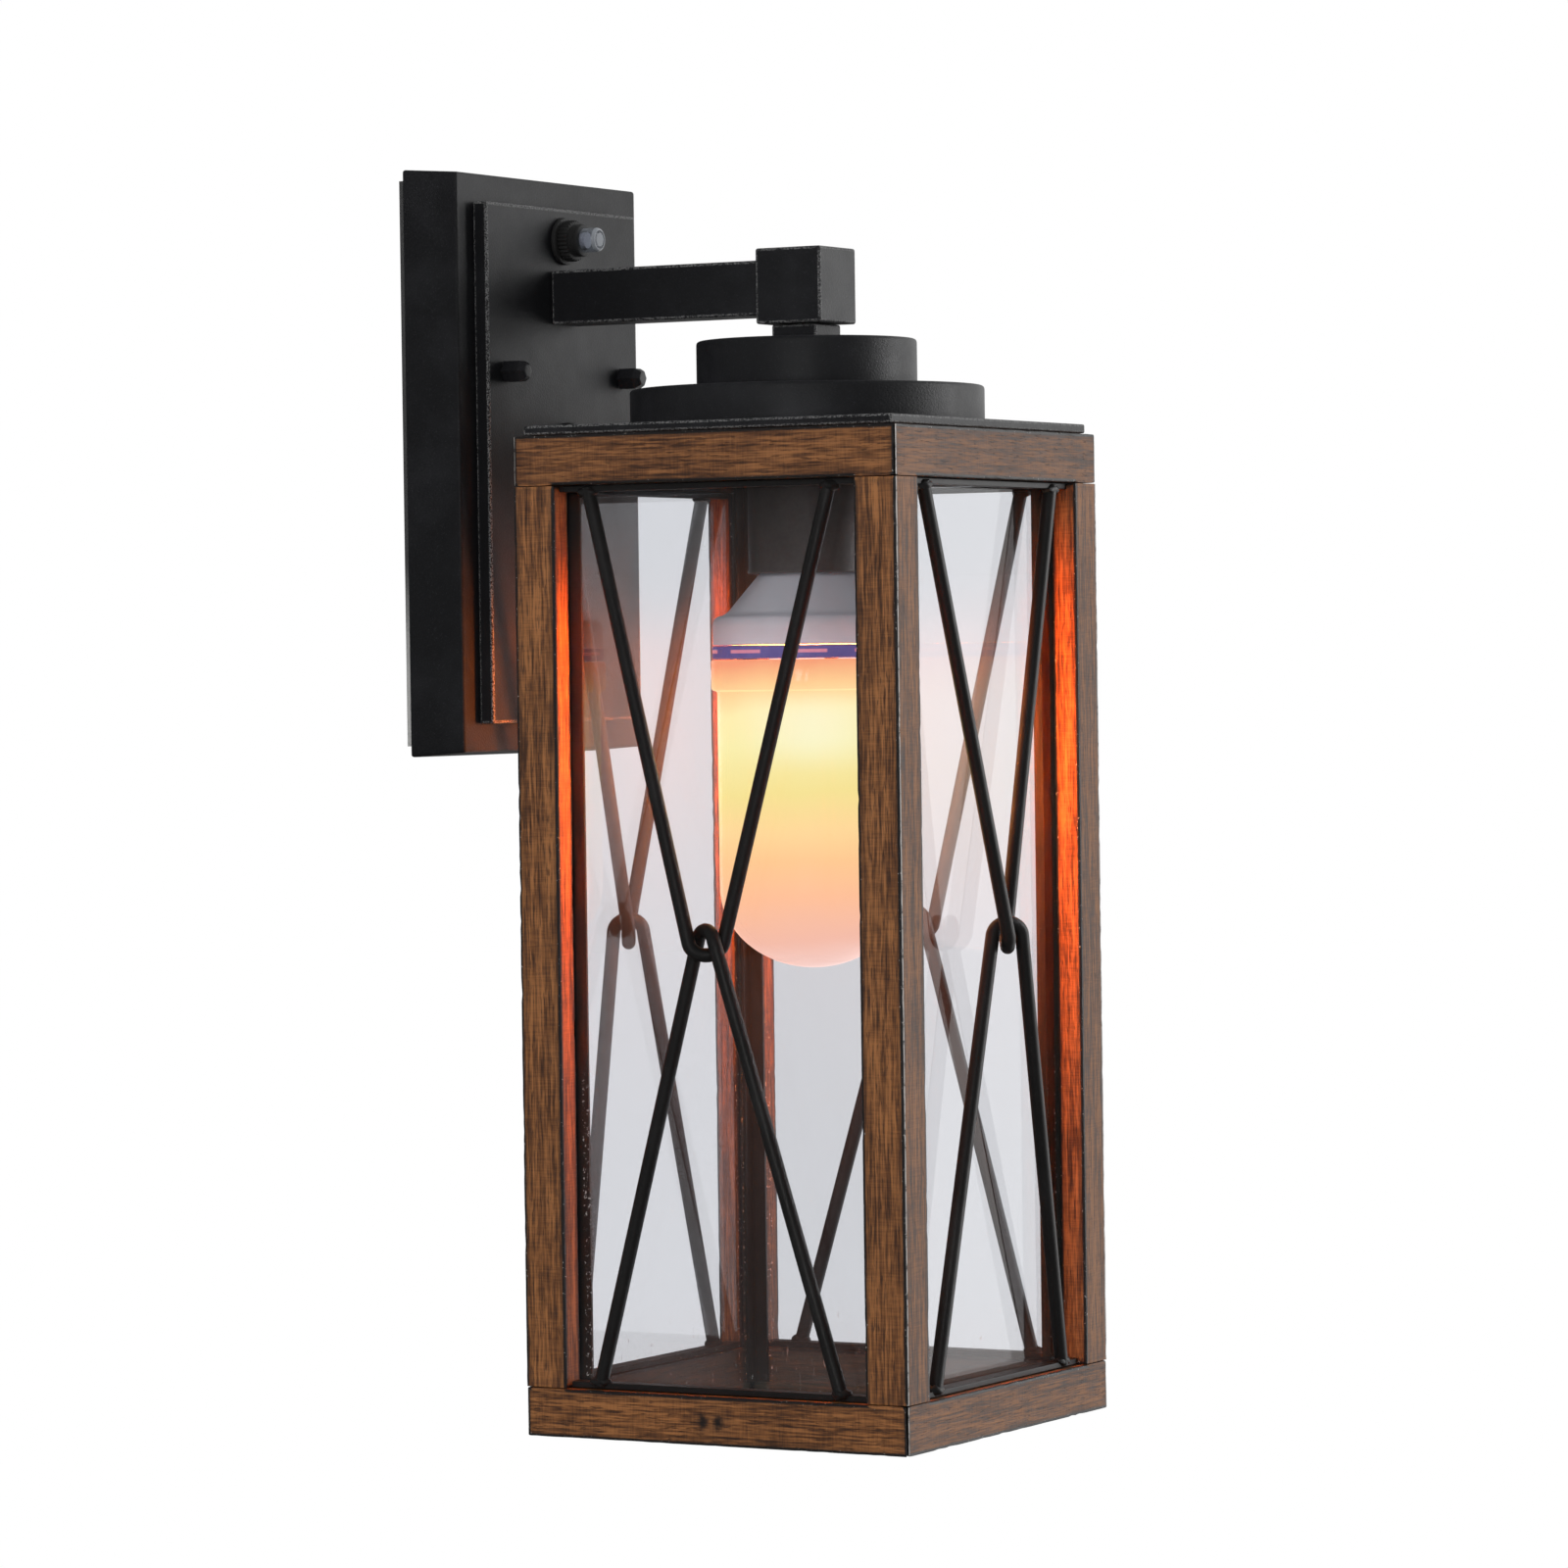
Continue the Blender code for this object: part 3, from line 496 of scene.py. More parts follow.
def globe_finish():
    """Frosted plastic that glows: colour by height, and brighter over each of three rows of lights."""
    made = Finish("lamp_globe")
    up = (made.part("Z") - GLOBE_LOW) / (GLOBE_HIGH - GLOBE_LOW)
    bearing = made.bearing() - SEEN_FROM
    wander = 0.07 * (made.noise(made.here, 0.035, 3.0) - 0.5) - 0.02 * made.math("SINE", bearing)
    glow = made.node("ShaderNodeValToRGB", {"Fac": up + wander}, ramp=GLOW)
    rows = 0.5 + 0.5 * made.math("COSINE", 3.0 * bearing)
    middle = made.step(up, 0.62, 0.76) * (1 - made.step(up, 0.80, 0.92))
    glow = made.mix(0.5 * rows * middle, glow, (0.97, 0.97, 0.74))
    return made.shade(
        Base_Color=(0.05, 0.045, 0.04),
        Roughness=0.04 + 0.05 * made.noise(made.here, 0.6),
        Emission_Color=glow,
        Emission_Strength=1.25,
        Normal=made.bump(made.noise(made.here, 2.5), 0.01),
    )


def housing_finish():
    """Moulded white plastic, faintly grained, with a faint painted glow all over that grows warmer and
    stronger at its lower edge, standing for the lamp's light.
    """
    made = Finish("lamp_housing")
    cloud = made.noise(made.here, 0.08, 3.0, 0.6)
    low = box_mm("bulb_housing")[0][2]
    # Painted glow: the housing is given an emission, warmest near its lower edge.
    painted_glow = 1 - made.step(made.part("Z"), low, low + 12.0)
    return made.shade(
        Base_Color=made.mix(cloud, (0.56, 0.57, 0.60), (0.70, 0.71, 0.74)),
        Roughness=0.26 + 0.12 * cloud,
        Normal=made.bump(made.noise(made.here, 1.6), 0.02),
        Emission_Color=made.mix(painted_glow, (0.04, 0.04, 0.05), (0.36, 0.28, 0.32)),
        Emission_Strength=0.6,
    )


def band_finish():
    """A slate-violet ring with a row of long slots lit from inside."""
    made = Finish("lamp_band")
    low, high = box_mm("bulb_band")[0][2], box_mm("bulb_band")[1][2]
    up = (made.part("Z") - low) / (high - low)
    row = made.step(up, 0.40, 0.48) * (1 - made.step(up, 0.66, 0.74))
    slots = row * made.step(made.math("SINE", 9.0 * (made.bearing() - SEEN_FROM) + 1.9), -0.35, -0.15)
    cloud = made.noise(made.here, 0.3, 2.0)
    return made.shade(
        Base_Color=made.mix(cloud, (0.06, 0.06, 0.18), (0.15, 0.14, 0.32)),
        Roughness=0.28 + 0.1 * cloud,
        Emission_Color=made.mix(slots, (0.09, 0.07, 0.24), (0.95, 0.30, 0.34)),
        Emission_Strength=0.75,
    )


GLOBE = globe_finish()
HOUSING = housing_finish()
BAND = band_finish()


def cap_finish():
    """Clear plastic, slightly milky, over the sensing disc, with a milky ring round the tip painted as a
    highlight.
    """
    made = Finish("clear_cap")
    clear = made.node("ShaderNodeBsdfTransparent", {"Color": (0.88, 0.90, 0.93)})
    milky = made.node(
        "ShaderNodeBsdfPrincipled",
        {"Base Color": (0.32, 0.34, 0.37), "Roughness": 0.12 + 0.1 * made.noise(made.here, 0.9)},
    )
    slant = made.node("ShaderNodeLayerWeight", {"Blend": 0.5}, out="Facing")
    low, high = box_mm("photocell_cap")
    rise = made.part("Z") - (low[2] + high[2]) / 2
    from_axis = made.math("SQRT", made.part("X") * made.part("X") + rise * rise)
    on_tip = 1 - made.step(made.part("Y"), low[1] + 0.9, low[1] + 1.3)
    window = 1 - made.step(from_axis, 0.52 * high[0], 0.60 * high[0])
    # Painted highlight: a milky ring round the tip's rim stands for the light that its edge catches.
    ring = made.step(from_axis, 0.72 * high[0], 0.80 * high[0])
    share = 0.04 + 0.6 * slant * slant + on_tip * (0.55 * window + 0.6 * ring)
    return made.show(made.node("ShaderNodeMixShader", {0: share, 1: clear, 2: milky}))


CLEAR_CAP = cap_finish()

# %% [markdown]
# Working parts whose shape is already right only need their finish. Each is looked up by its name, or by
# how its name starts.

# %% Paint the kept parts
KEPT = {
    "wall_gasket": FOAM,
    "mounting_strap": ZINC,
    "stud_": ZINC,
    "arm_pipe": ZINC,
    "arm_locknut": ZINC,
    "cap_pipe": ZINC,
    "cap_locknut": ZINC,
    "photocell_nut": ZINC,
    "photocell_disc": SENSOR,
    "photocell_": RUBBER,
    "socket_body": PORCELAIN,
    "socket_shell": BRASS,
    "glass_channel_": IRON,
    "pane_": GLASS,
    "bulb_base": ZINC,
}
painted = 0
for name, node in nodes.items():
    found = [start for start in KEPT if name.startswith(start)]
    finish = KEPT[max(found, key=len)] if found else COAT
    for material_slot in node.material_slots:
        material_slot.material = finish
    painted += bool(found)
print("kept parts with a finish of their own:", painted)

# %% [markdown]
# Every new piece is a skin over rings of points: a grid whose rows are rings and whose columns run round
# them. The rings are worked out as whole arrays. Neighbouring rings are joined with four-sided faces, and
# the first and last ring may be closed with one flat face.


# %% Skins over rings
BESIDE = (0.45, 1.1, 2.2, 4.0)  # distances from an arris, in mm, at which a skin has points
FAR = BESIDE[-1]  # an arris distance past which the paint sees no arris
WELD_DISTANCE = 0.000002  # in metres
print("arris distances in mm:", BESIDE)


def skin(rings, caps=True, loop=False, arris=None):
    """Faces between rings[i, j], joined round each ring; loop joins the last ring to the first.

    The face at (i, j) has corners (i, j), (i, j + 1), (i + 1, j + 1) and (i + 1, j); caps close both
    ends.
    """
    rows, columns = rings.shape[:2]
    i, j = np.meshgrid(np.arange(rows if loop else rows - 1), np.arange(columns), indexing="ij")
    following, beside = (i + 1) % rows, (j + 1) % columns
    corners = (i * columns + j, i * columns + beside, following * columns + beside, following * columns + j)
    faces = np.stack(corners, axis=-1).reshape(-1, 4).tolist()
    if caps and not loop:
        faces.append(list(range(columns))[::-1])
        faces.append(list(range((rows - 1) * columns, rows * columns)))
    measure = np.full((rows, columns), FAR) if arris is None else arris
    return {"points": rings.reshape(-1, 3), "faces": faces, "arris": measure.reshape(-1)}


def piece(name, skins, material, body, replaced, crisp=35):
    """Joins skins into one object, welds poles and seams, faces it outward, and replaces working parts."""
    starts = np.cumsum([0] + [len(s["points"]) for s in skins])
    points = np.concatenate([s["points"] for s in skins]) * MM
    faces = [[int(start) + c for c in face] for start, s in zip(starts, skins) for face in s["faces"]]
    mesh = bpy.data.meshes.new(name)
    mesh.from_pydata(points.tolist(), [], faces)
    attribute = mesh.attributes.new("arris", "FLOAT", "POINT")
    attribute.data.foreach_set("value", np.concatenate([s["arris"] for s in skins]).astype(np.float32))
    bm = bmesh.new()
    bm.from_mesh(mesh)
    bmesh.ops.remove_doubles(bm, verts=bm.verts, dist=WELD_DISTANCE)
    bmesh.ops.recalc_face_normals(bm, faces=bm.faces)
    bm.to_mesh(mesh)
    bm.free()
    mesh.materials.append(material)
    mesh.shade_smooth()
    mesh.set_sharp_from_angle(angle=math.radians(crisp))
    for polygon in mesh.polygons:
        polygon.use_smooth = len(polygon.vertices) <= 4  # the flat ends stay flat
    obj = bpy.data.objects.new(name, mesh)
    bpy.context.scene.collection.objects.link(obj)
    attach(obj, body)
    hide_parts(*replaced)
    print("piece", name, "points", len(mesh.vertices))
    return obj


# %% [markdown]
# Members and blocks. A real edge is never sharp: it is a small round that catches a line of light. Each
# corner of the outline becomes a short curve, and rings near both ends draw in, so the ends are rounded
# the same way. Extra points beside each round keep the flats flat and carry the distance to the arris for
# the paint.

# %% Rounded bars
ARC_STEPS = 4  # steps in the round of an arris
LEAST_ROUND = 0.06
print("steps in an arris:", ARC_STEPS)


def outline(corners, inset, radius):
    """Points round a right-angled outline drawn in by an inset, with a curve of a radius at each corner.

    Each curve is a quadratic one between the two points a radius from the corner: (1-t)^2 a + 2t(1-t) c +
    t^2 b.
    """
    corners = np.array(corners, float)
    ahead = np.roll(corners, -1, axis=0) - corners
    lengths = np.linalg.norm(ahead, axis=1)
    ahead /= lengths[:, None]
    behind = np.roll(ahead, 1, axis=0)
    outward = np.stack((ahead[:, 1], -ahead[:, 0]), axis=1) + np.stack((behind[:, 1], -behind[:, 0]), axis=1)
    moved = corners - inset * outward
    t = np.linspace(0, 1, ARC_STEPS + 1)[None, :, None]
    reach = max(radius - inset, LEAST_ROUND)
    start, end = (moved - behind * reach)[:, None], (moved + ahead * reach)[:, None]
    curves = (1 - t) ** 2 * start + 2 * t * (1 - t) * moved[:, None] + t**2 * end
    points, measures = [], []
    for i in range(len(corners)):
        near = [s for s in BESIDE if radius < s < lengths[i] / 2 - 0.1]
        run = [moved[i] + ahead[i] * s for s in near]
        back = [moved[(i + 1) % len(corners)] - ahead[i] * s for s in near[::-1]]
        points += [*curves[i], *run, *back]
        measures += [0.0] * (ARC_STEPS + 1) + near + near[::-1]
    return np.array(points), np.array(measures)


def stations(length, radius, spacing=None):
    """Places along a bar, each with its inset and its distance to the arris of the nearest end.

    Over a round end the place is r (1 - sin a) and the inset r (1 - cos a), as the angle a falls from a
    quarter turn to 0. The run between the two round ends has no inset, and is divided evenly where a
    spacing is given.
    """
    angle = np.linspace(0, math.pi / 2, ARC_STEPS + 1)
    round_end = [(radius * (1 - math.sin(a)), radius * (1 - math.cos(a)), 0.0) for a in angle[::-1]]
    near = [(s, 0.0, s) for s in BESIDE if radius < s < length / 2 - 0.1]
    middle = []
    if spacing:
        count = int((length - 2 * FAR) / spacing)
        middle = [(p, 0.0, FAR) for p in np.linspace(FAR, length - FAR, count + 1)[1:-1]]
    first = round_end + near
    last = [(length - p, inset, s) for p, inset, s in first[::-1]]
    return np.array(first + middle + last)


def bar(corners, length, radius, place, spacing=None, nicks=None, end_radius=None, seam=None, faced=False):
    """A rounded bar: its outline is carried along its length, and place turns (u, v, along) into a point
    in mm.

    nicks gives, of each grid point, how far it moves towards the middle of its ring, and seam whether it
    lies on a joint with a neighbour, which has no painted arris. A faced bar shows its ends, so rings
    drawn in over each end carry the distance to the arris across it. The distance stored at a point is
    the lesser of its distance round the outline and its distance along the bar.
    """
    narrow = np.ptp(np.array(corners, float), axis=0).min() / 2
    over = [s for s in BESIDE if faced and radius + s + FAR < narrow]
    near_end = [(0.0, radius + s, s) for s in over[::-1]]
    far_end = [(length, radius + s, s) for s in over]
    rows = []
    measures = []
    for along, inset, end_distance in [*near_end, *stations(length, end_radius or radius, spacing), *far_end]:
        points, distance = outline(corners, inset, radius)
        rows.append(np.column_stack((points, np.full(len(points), along))))
        across_end = np.full(len(points), end_distance)
        measures.append(across_end if inset > radius else np.minimum(distance, end_distance))
    grid, arris = np.array(rows), np.array(measures)
    if nicks is not None:
        middle = grid[..., :2].mean(axis=1, keepdims=True)
        inward = middle - grid[..., :2]
        inward /= np.linalg.norm(inward, axis=-1, keepdims=True)
        grid[..., :2] += inward * (nicks(grid) * (arris < 0.3))[..., None]
    if seam is not None:
        arris = np.where(seam(grid), FAR, arris)
    return skin(place(grid), arris=arris)


NICK_SPACING = 2.6  # mm between two knots along an arris, and between two rings of the wood
NICK_DEPTH = 0.34
NICK_TRACKS, NICK_KNOTS = 16, 128
TRACK_WIDTH = 9.0  # arrises at least this far apart have dents of their own


def nicked(seed):
    """Small dents along the arrises: mostly none and a few deep, from a seeded table of random knots.

    A knot is a random share raised to the seventh power, times the depth, and a point's dent is drawn
    straight between the two knots beside it.
    """
    random = np.random.default_rng(seed)
    knots = random.random((NICK_TRACKS, NICK_KNOTS)) ** 7 * NICK_DEPTH

    def dents(grid):
        along = grid[..., 2] / NICK_SPACING
        across = np.round(grid[..., 0] / TRACK_WIDTH) + 3 * np.round(grid[..., 1] / TRACK_WIDTH)
        track = np.mod(across, NICK_TRACKS).astype(int)
        low = np.floor(along).astype(int)
        part = along - low
        first, second = knots[track, low % NICK_KNOTS], knots[track, (low + 1) % NICK_KNOTS]
        return first * (1 - part) + second * part

    return dents


def rectangle(u_low, u_high, v_low, v_high):
    """The four corners of an upright rectangle, turning from +u to +v."""
    return [(u_low, v_low), (u_high, v_low), (u_high, v_high), (u_low, v_high)]


# %% [markdown]
# The cage's wood: four corner posts of L section stand between full-width rails that meet in mitres at
# the corners. One post and one rail are worked out for the front and turned about the axis for the other
# three sides.

# %% Posts and rails
WOOD_ROUND = 0.5  # radius of the wood's arrises, in mm
SEAM_ROUND = 0.12  # radius at a post's two ends, where it meets a rail
JOINT_IN = 1.0  # the outer mm of a joint's faces keep their worn edge


def post(number, corner_name):
    """An L section carried up the corner; the front-left one is turned about the axis for the others."""
    section = [(0, 0), (STILE, 0), (STILE, WOOD), (WOOD, WOOD), (WOOD, STILE), (0, STILE)]
    low, high = box_mm("post_" + corner_name)

    height = high[2] - low[2]

    def place(grid):
        """The grid moved to the front-left corner, then turned."""
        points = np.stack((grid[..., 0] - HALF, grid[..., 1] + AXIS_Y - HALF, grid[..., 2] + low[2]), axis=-1)
        return quarter_turned(points, number)

    def seam(grid):
        """The post's two ends, away from its outer corner and from the opening."""
        inner = (grid[..., 0] > JOINT_IN) | (grid[..., 1] > JOINT_IN)
        at_end = (grid[..., 2] < 0.5) | (grid[..., 2] > height - 0.5)
        return inner & at_end & (grid[..., :2].max(axis=-1) < STILE - 0.6)

    shape = bar(section, height, WOOD_ROUND, place, NICK_SPACING, nicked(11 + number), SEAM_ROUND, seam)
    name = "post_" + corner_name
    return piece("wood_" + name, [shape], WOOD_Z, "lantern", [name])


def rail(number, face, level):
    """A rectangle carried across one face; its ends slant by its own depth, so two rails meet in a mitre."""
    name = level + "_rail_" + face
    bottom, top = (OPENING_TOP, CAGE_TOP) if level == "top" else (CAGE_BOTTOM, OPENING_LOW)
    length = 2 * (HALF - SEAM)

    def from_post(grid):
        """Height above or below the side of the rail that the posts stand against."""
        return grid[..., 1] if level == "top" else top - bottom - grid[..., 1]

    def seam(grid):
        """The parts of that side that lie over a post, away from the mitre and from the opening."""
        across = np.abs(grid[..., 2] - length / 2)
        return (across > HALF - STILE + 0.5) & (across < HALF - 2.0) & (from_post(grid) < JOINT_IN)

    def place(grid):
        """A point's place along the rail shrinks in step with its depth; at a post the side has no round."""
        depth = grid[..., 0]
        across = (grid[..., 2] - length / 2) * (1 - depth / (length / 2))
        squared = seam(grid) & (from_post(grid) < WOOD_ROUND + 0.05)
        height = np.where(squared, 0.0 if level == "top" else top - bottom, grid[..., 1])
        points = np.stack((across, depth + AXIS_Y - HALF, height + bottom), axis=-1)
        return quarter_turned(points, number)

    seed = 31 + number + 4 * (level == "top")
    section = rectangle(0, WOOD, 0, top - bottom)
    shape = bar(section, length, WOOD_ROUND, place, NICK_SPACING, nicked(seed), None, seam)
    finish = WOOD_Y if number % 2 else WOOD_X
    return piece("wood_" + name, [shape], finish, "lantern", [name])


for number, corner_name in enumerate(("front_left", "front_right", "rear_right", "rear_left")):
    post(number, corner_name)
for number, face in enumerate(FACES):
    rail(number, face, "top")
    rail(number, face, "bottom")

# %% [markdown]
# The cast and square metal parts: roof plate, neck, corner block, arm and the raised step of the
# backplate. They are plain blocks with soft edges, so each is one rounded bar between the corners of its
# working part.


# %% Square metal parts
def block(name, node_name, along, radius, material=COAT):
    """A rounded block that fills a working part's box, carried along one axis."""
    low, high = box_mm(node_name)
    first, second = [(1, 2), (2, 0), (0, 1)][along]

    def place(grid):
        """The outline's two axes follow the length's axis in the order x, y, z, x."""
        points = np.empty(grid.shape)
        points[..., first], points[..., second], points[..., along] = grid[..., 0], grid[..., 1], grid[..., 2]
        points[..., along] += low[along]
        return points

    section = rectangle(low[first], high[first], low[second], high[second])
    shape = bar(section, high[along] - low[along], radius, place, faced=True)
    return piece(name, [shape], material, "lantern", [node_name])


block("roof_cover", "roof_plate", 2, 0.6)
block("neck_block", "neck", 2, 0.6)
block("corner_block", "knuckle_block", 2, 0.8)
block("arm_bar", "arm_tube", 1, 0.9)
block("raised_step", "backplate_step", 1, 0.7, SHADED_BACK_COAT)


# %% [markdown]
# The backplate is a pan pressed or cast with draft: it widens towards the wall and is hollow behind. Its
# skin starts at the hollow's ceiling, comes down the inner walls, turns over the rear rim, and goes up
# and over the front edge.

# %% Backplate pan
PAN_ROUND = 0.8  # radius of the front edge, in mm
PAN_SHEET = 2.2
DRAFT_SIDE = 0.8  # how far the pan widens on each side between its front and its rear
DRAFT_END = 1.45


def pan():
    """Rings round the plate at each depth; the draft widens a ring in step with its distance from the
    front.

    Over the front edge the depth is r (1 - sin a) and the inset r (1 - cos a).
    """
    low, high = box_mm("backplate_pan")
    front = box_mm("backplate_step")[1][1] + SEAM
    rear = high[1]
    half = high[0] - DRAFT_SIDE
    top, bottom = high[2] - DRAFT_END, low[2] + DRAFT_END
    angle = np.linspace(0, math.pi / 2, ARC_STEPS + 1)
    ceiling = front + PAN_SHEET
    profile = [(ceiling, PAN_SHEET), (rear - 1.0, PAN_SHEET), (rear - 0.4, PAN_SHEET - 0.15)]
    profile += [(rear, PAN_SHEET - 0.6), (rear, 0.6), (rear - 0.15, 0.2), (rear - 0.6, 0.0)]
    profile += [(front + PAN_ROUND + 3.0, 0.0)]
    profile += [(front + PAN_ROUND * (1 - math.sin(a)), PAN_ROUND * (1 - math.cos(a))) for a in angle]
    profile += [(front, PAN_ROUND + 0.6), (front, PAN_ROUND + 3.0)]
    rows = []
    for depth, inset in profile:
        points, _ = outline(rectangle(-half, half, bottom, top), inset, PAN_ROUND + 0.4)
        share = (depth - front) / (rear - front)
        x = points[:, 0] + np.sign(points[:, 0]) * DRAFT_SIDE * share
        z = points[:, 1] + np.sign(points[:, 1] - (top + bottom) / 2) * DRAFT_END * share
        rows.append(np.column_stack((x, np.full(len(points), depth), z)))
    shape = skin(np.array(rows))
    return piece("backplate_shell", [shape], SHADED_BACK_COAT, "lantern", ["backplate_pan"])


pan()

# %% [markdown]
# Round parts are lathe work: a profile of radius and height is turned about an axis. Corners of the
# profile are eased by a short curve too, because a turned or spun edge is always slightly round. One
# function turns every profile, about the upright axis or about the direction out of the wall.


# %% Lathe
BORE = 5.3  # radius of the holes that the threaded pipe passes, in mm


def eased(profile, radius, steps=3):
    """A profile with each inner corner replaced by a short curve that starts and ends a radius away from
    it.

    The curve is the quadratic one that outline uses, and a radius is cut to 0.45 of the shorter side.
    """
    points = np.array(profile, float)
    eased_points = [points[0]]
    for before, corner, after in zip(points[:-2], points[1:-1], points[2:]):
        back, ahead = np.linalg.norm(before - corner), np.linalg.norm(after - corner)
        reach = min(radius, back * 0.45, ahead * 0.45)
        start = corner + (before - corner) / back * reach
        end = corner + (after - corner) / ahead * reach
        for t in np.linspace(0, 1, steps + 1):
            eased_points.append((1 - t) ** 2 * start + 2 * t * (1 - t) * corner + t**2 * end)
    eased_points.append(points[-1])
    return np.array(eased_points)


def turned(profile, sides, centre, wallward=False, loop=False, ripple=None):
    """A profile of (radius, height) turned about +Z, or about -Y where it stands on the wall plate.

    A point is centre + (r cos a, r sin a, h), or centre + (r cos a, -h, r sin a) on the wall plate.
    """
    profile = np.array(profile, float)
    angle = np.linspace(0, 2 * math.pi, sides, endpoint=False)[None, :]
    radius = profile[:, :1] * np.ones_like(angle)
    if ripple is not None:
        radius = radius + ripple(profile, angle)
    height = profile[:, 1:] * np.ones_like(angle)
    flat, third = radius * np.cos(angle), radius * np.sin(angle)
    rings = np.stack((flat, -height, third) if wallward else (flat, third, height), axis=-1)
    return skin(rings + np.array(centre, float), caps=False, loop=loop)


def drum(name, node_name, sheet=1.6, edge=1.4):
    """A round sheet-metal cover, open below: down the outside, over the rim, and up the inside."""
    low, high = box_mm(node_name)
    radius, top, bottom = high[0], high[2], low[2]
    outside = eased([(BORE, top), (radius, top), (radius, bottom)], edge, 5)
    inside = eased([(radius - sheet, bottom), (radius - sheet, top - sheet), (BORE, top - sheet)], edge, 3)
    shape = turned(np.concatenate((outside, inside)), 144, (0, AXIS_Y, 0), loop=True)
    return piece(name, [shape], COAT, "lantern", [node_name])


drum("lower_tier", "lower_drum")
drum("upper_tier", "upper_drum")


def socket():
    """The deep cup round the lamp holder, with a rolled rim at its mouth."""
    low, high = box_mm("socket_cup")
    rim, top, bottom, wall = high[0], high[2], low[2], 1.0
    radius = rim - 0.3
    outside = eased([(BORE, top), (radius, top), (radius, bottom + 1.4)], 2.0, 5)
    roll = [(rim, bottom + 0.9), (rim, bottom + 0.35), (rim - 0.35, bottom)]
    inside = [(radius - wall, bottom), (radius - wall, top - wall), (BORE, top - wall)]
    shape = turned(np.concatenate((outside, roll, inside)), 96, (0, AXIS_Y, 0), loop=True)
    return piece("socket_sleeve", [shape], BRONZE, "lantern", ["socket_cup"])


socket()

# %% [markdown]
# The lamp is built as its moulded parts: a flared housing, a violet ring, and the globe with its collar.
# The globe is a tube whose end is half an ellipse, closed by a hollow inside, as the real frosted shell
# is.


# %% The lamp
LAMP_SIDES = 128


def lamp():
    """Three turned pieces about the cage's axis, measured from the lamp's working parts.

    The globe's end is (r cos a, middle - drop sin a) for an angle a from 0 to a quarter turn; inside it
    the same ellipse is smaller by the wall.
    """
    at = (0, AXIS_Y, 0)
    low, high = box_mm("bulb_housing")
    radius, top, bottom = high[0], high[2], low[2]
    shoulder = bottom + 8.2
    outside = [(0, top), (radius - 18.2, top), (radius - 15.5, top - 1.6), (radius - 4.5, top - 14.6)]
    outside += [(radius - 1.0, shoulder + 1.0), (radius, shoulder - 1.0), (radius, bottom + 0.25)]
    lip = [(radius - 0.25, bottom), (0, bottom)]
    shape = turned(np.concatenate((eased(outside, 1.6, 4), lip)), LAMP_SIDES, at)
    piece("lamp_housing", [shape], HOUSING, "lamp", ["bulb_housing"])

    low, high = box_mm("bulb_band")
    ring = [(26, high[2]), (high[0] - 0.3, high[2]), (high[0], high[2] - 0.4)]
    ring += [(high[0], low[2] + 0.4), (high[0] - 0.3, low[2]), (26, low[2])]
    piece("lamp_band", [turned(ring, LAMP_SIDES, at, loop=True)], BAND, "lamp", ["bulb_band"])

    low, high = box_mm("bulb_diffuser")
    collar, top, tip = high[0], high[2], low[2]
    radius, drop, wall = collar - 1.9, 26.6, 1.5
    middle = tip + drop
    collar_low = top - 9.7
    angle = np.linspace(0, math.pi / 2, 25)
    outside = [(collar - 4, top), (collar, top), (collar, collar_low), (radius, collar_low - 0.6)]
    outside = eased([*outside, (radius, middle)], 0.7)
    end = np.column_stack((radius * np.cos(angle), middle - drop * np.sin(angle)))[1:]
    inner = np.column_stack(((radius - wall) * np.cos(angle), middle - (drop - wall) * np.sin(angle)))[::-1]
    profile = np.concatenate((outside, end, inner, [(radius - wall, top)]))
    shape = turned(profile, LAMP_SIDES, at, loop=True)
    globe = piece("lamp_globe", [shape], GLOBE, "lamp", ["bulb_diffuser"])
    globe.visible_shadow = False  # light from inside the globe gets out
    globe.visible_diffuse = False  # and the lights inside do all of its lighting


lamp()

# %% [markdown]
# Fixings on the wall plate, all turned about the -Y direction: two black cap nuts, a small screw head low
# on the centre line, and the dusk sensor with its rubber washer, knurled flange and clear cap.


# %% Fixings and the dusk sensor
NUT_SIDES = 6
SCREW_RADIUS = 5.5
SCREW_SIDE = 1.6  # height of the straight side under the dome
KNURL_TEETH = 30
KNURL_DEPTH = 0.28
FLANGE_FROM = 6.0  # only the flange is wider than this radius


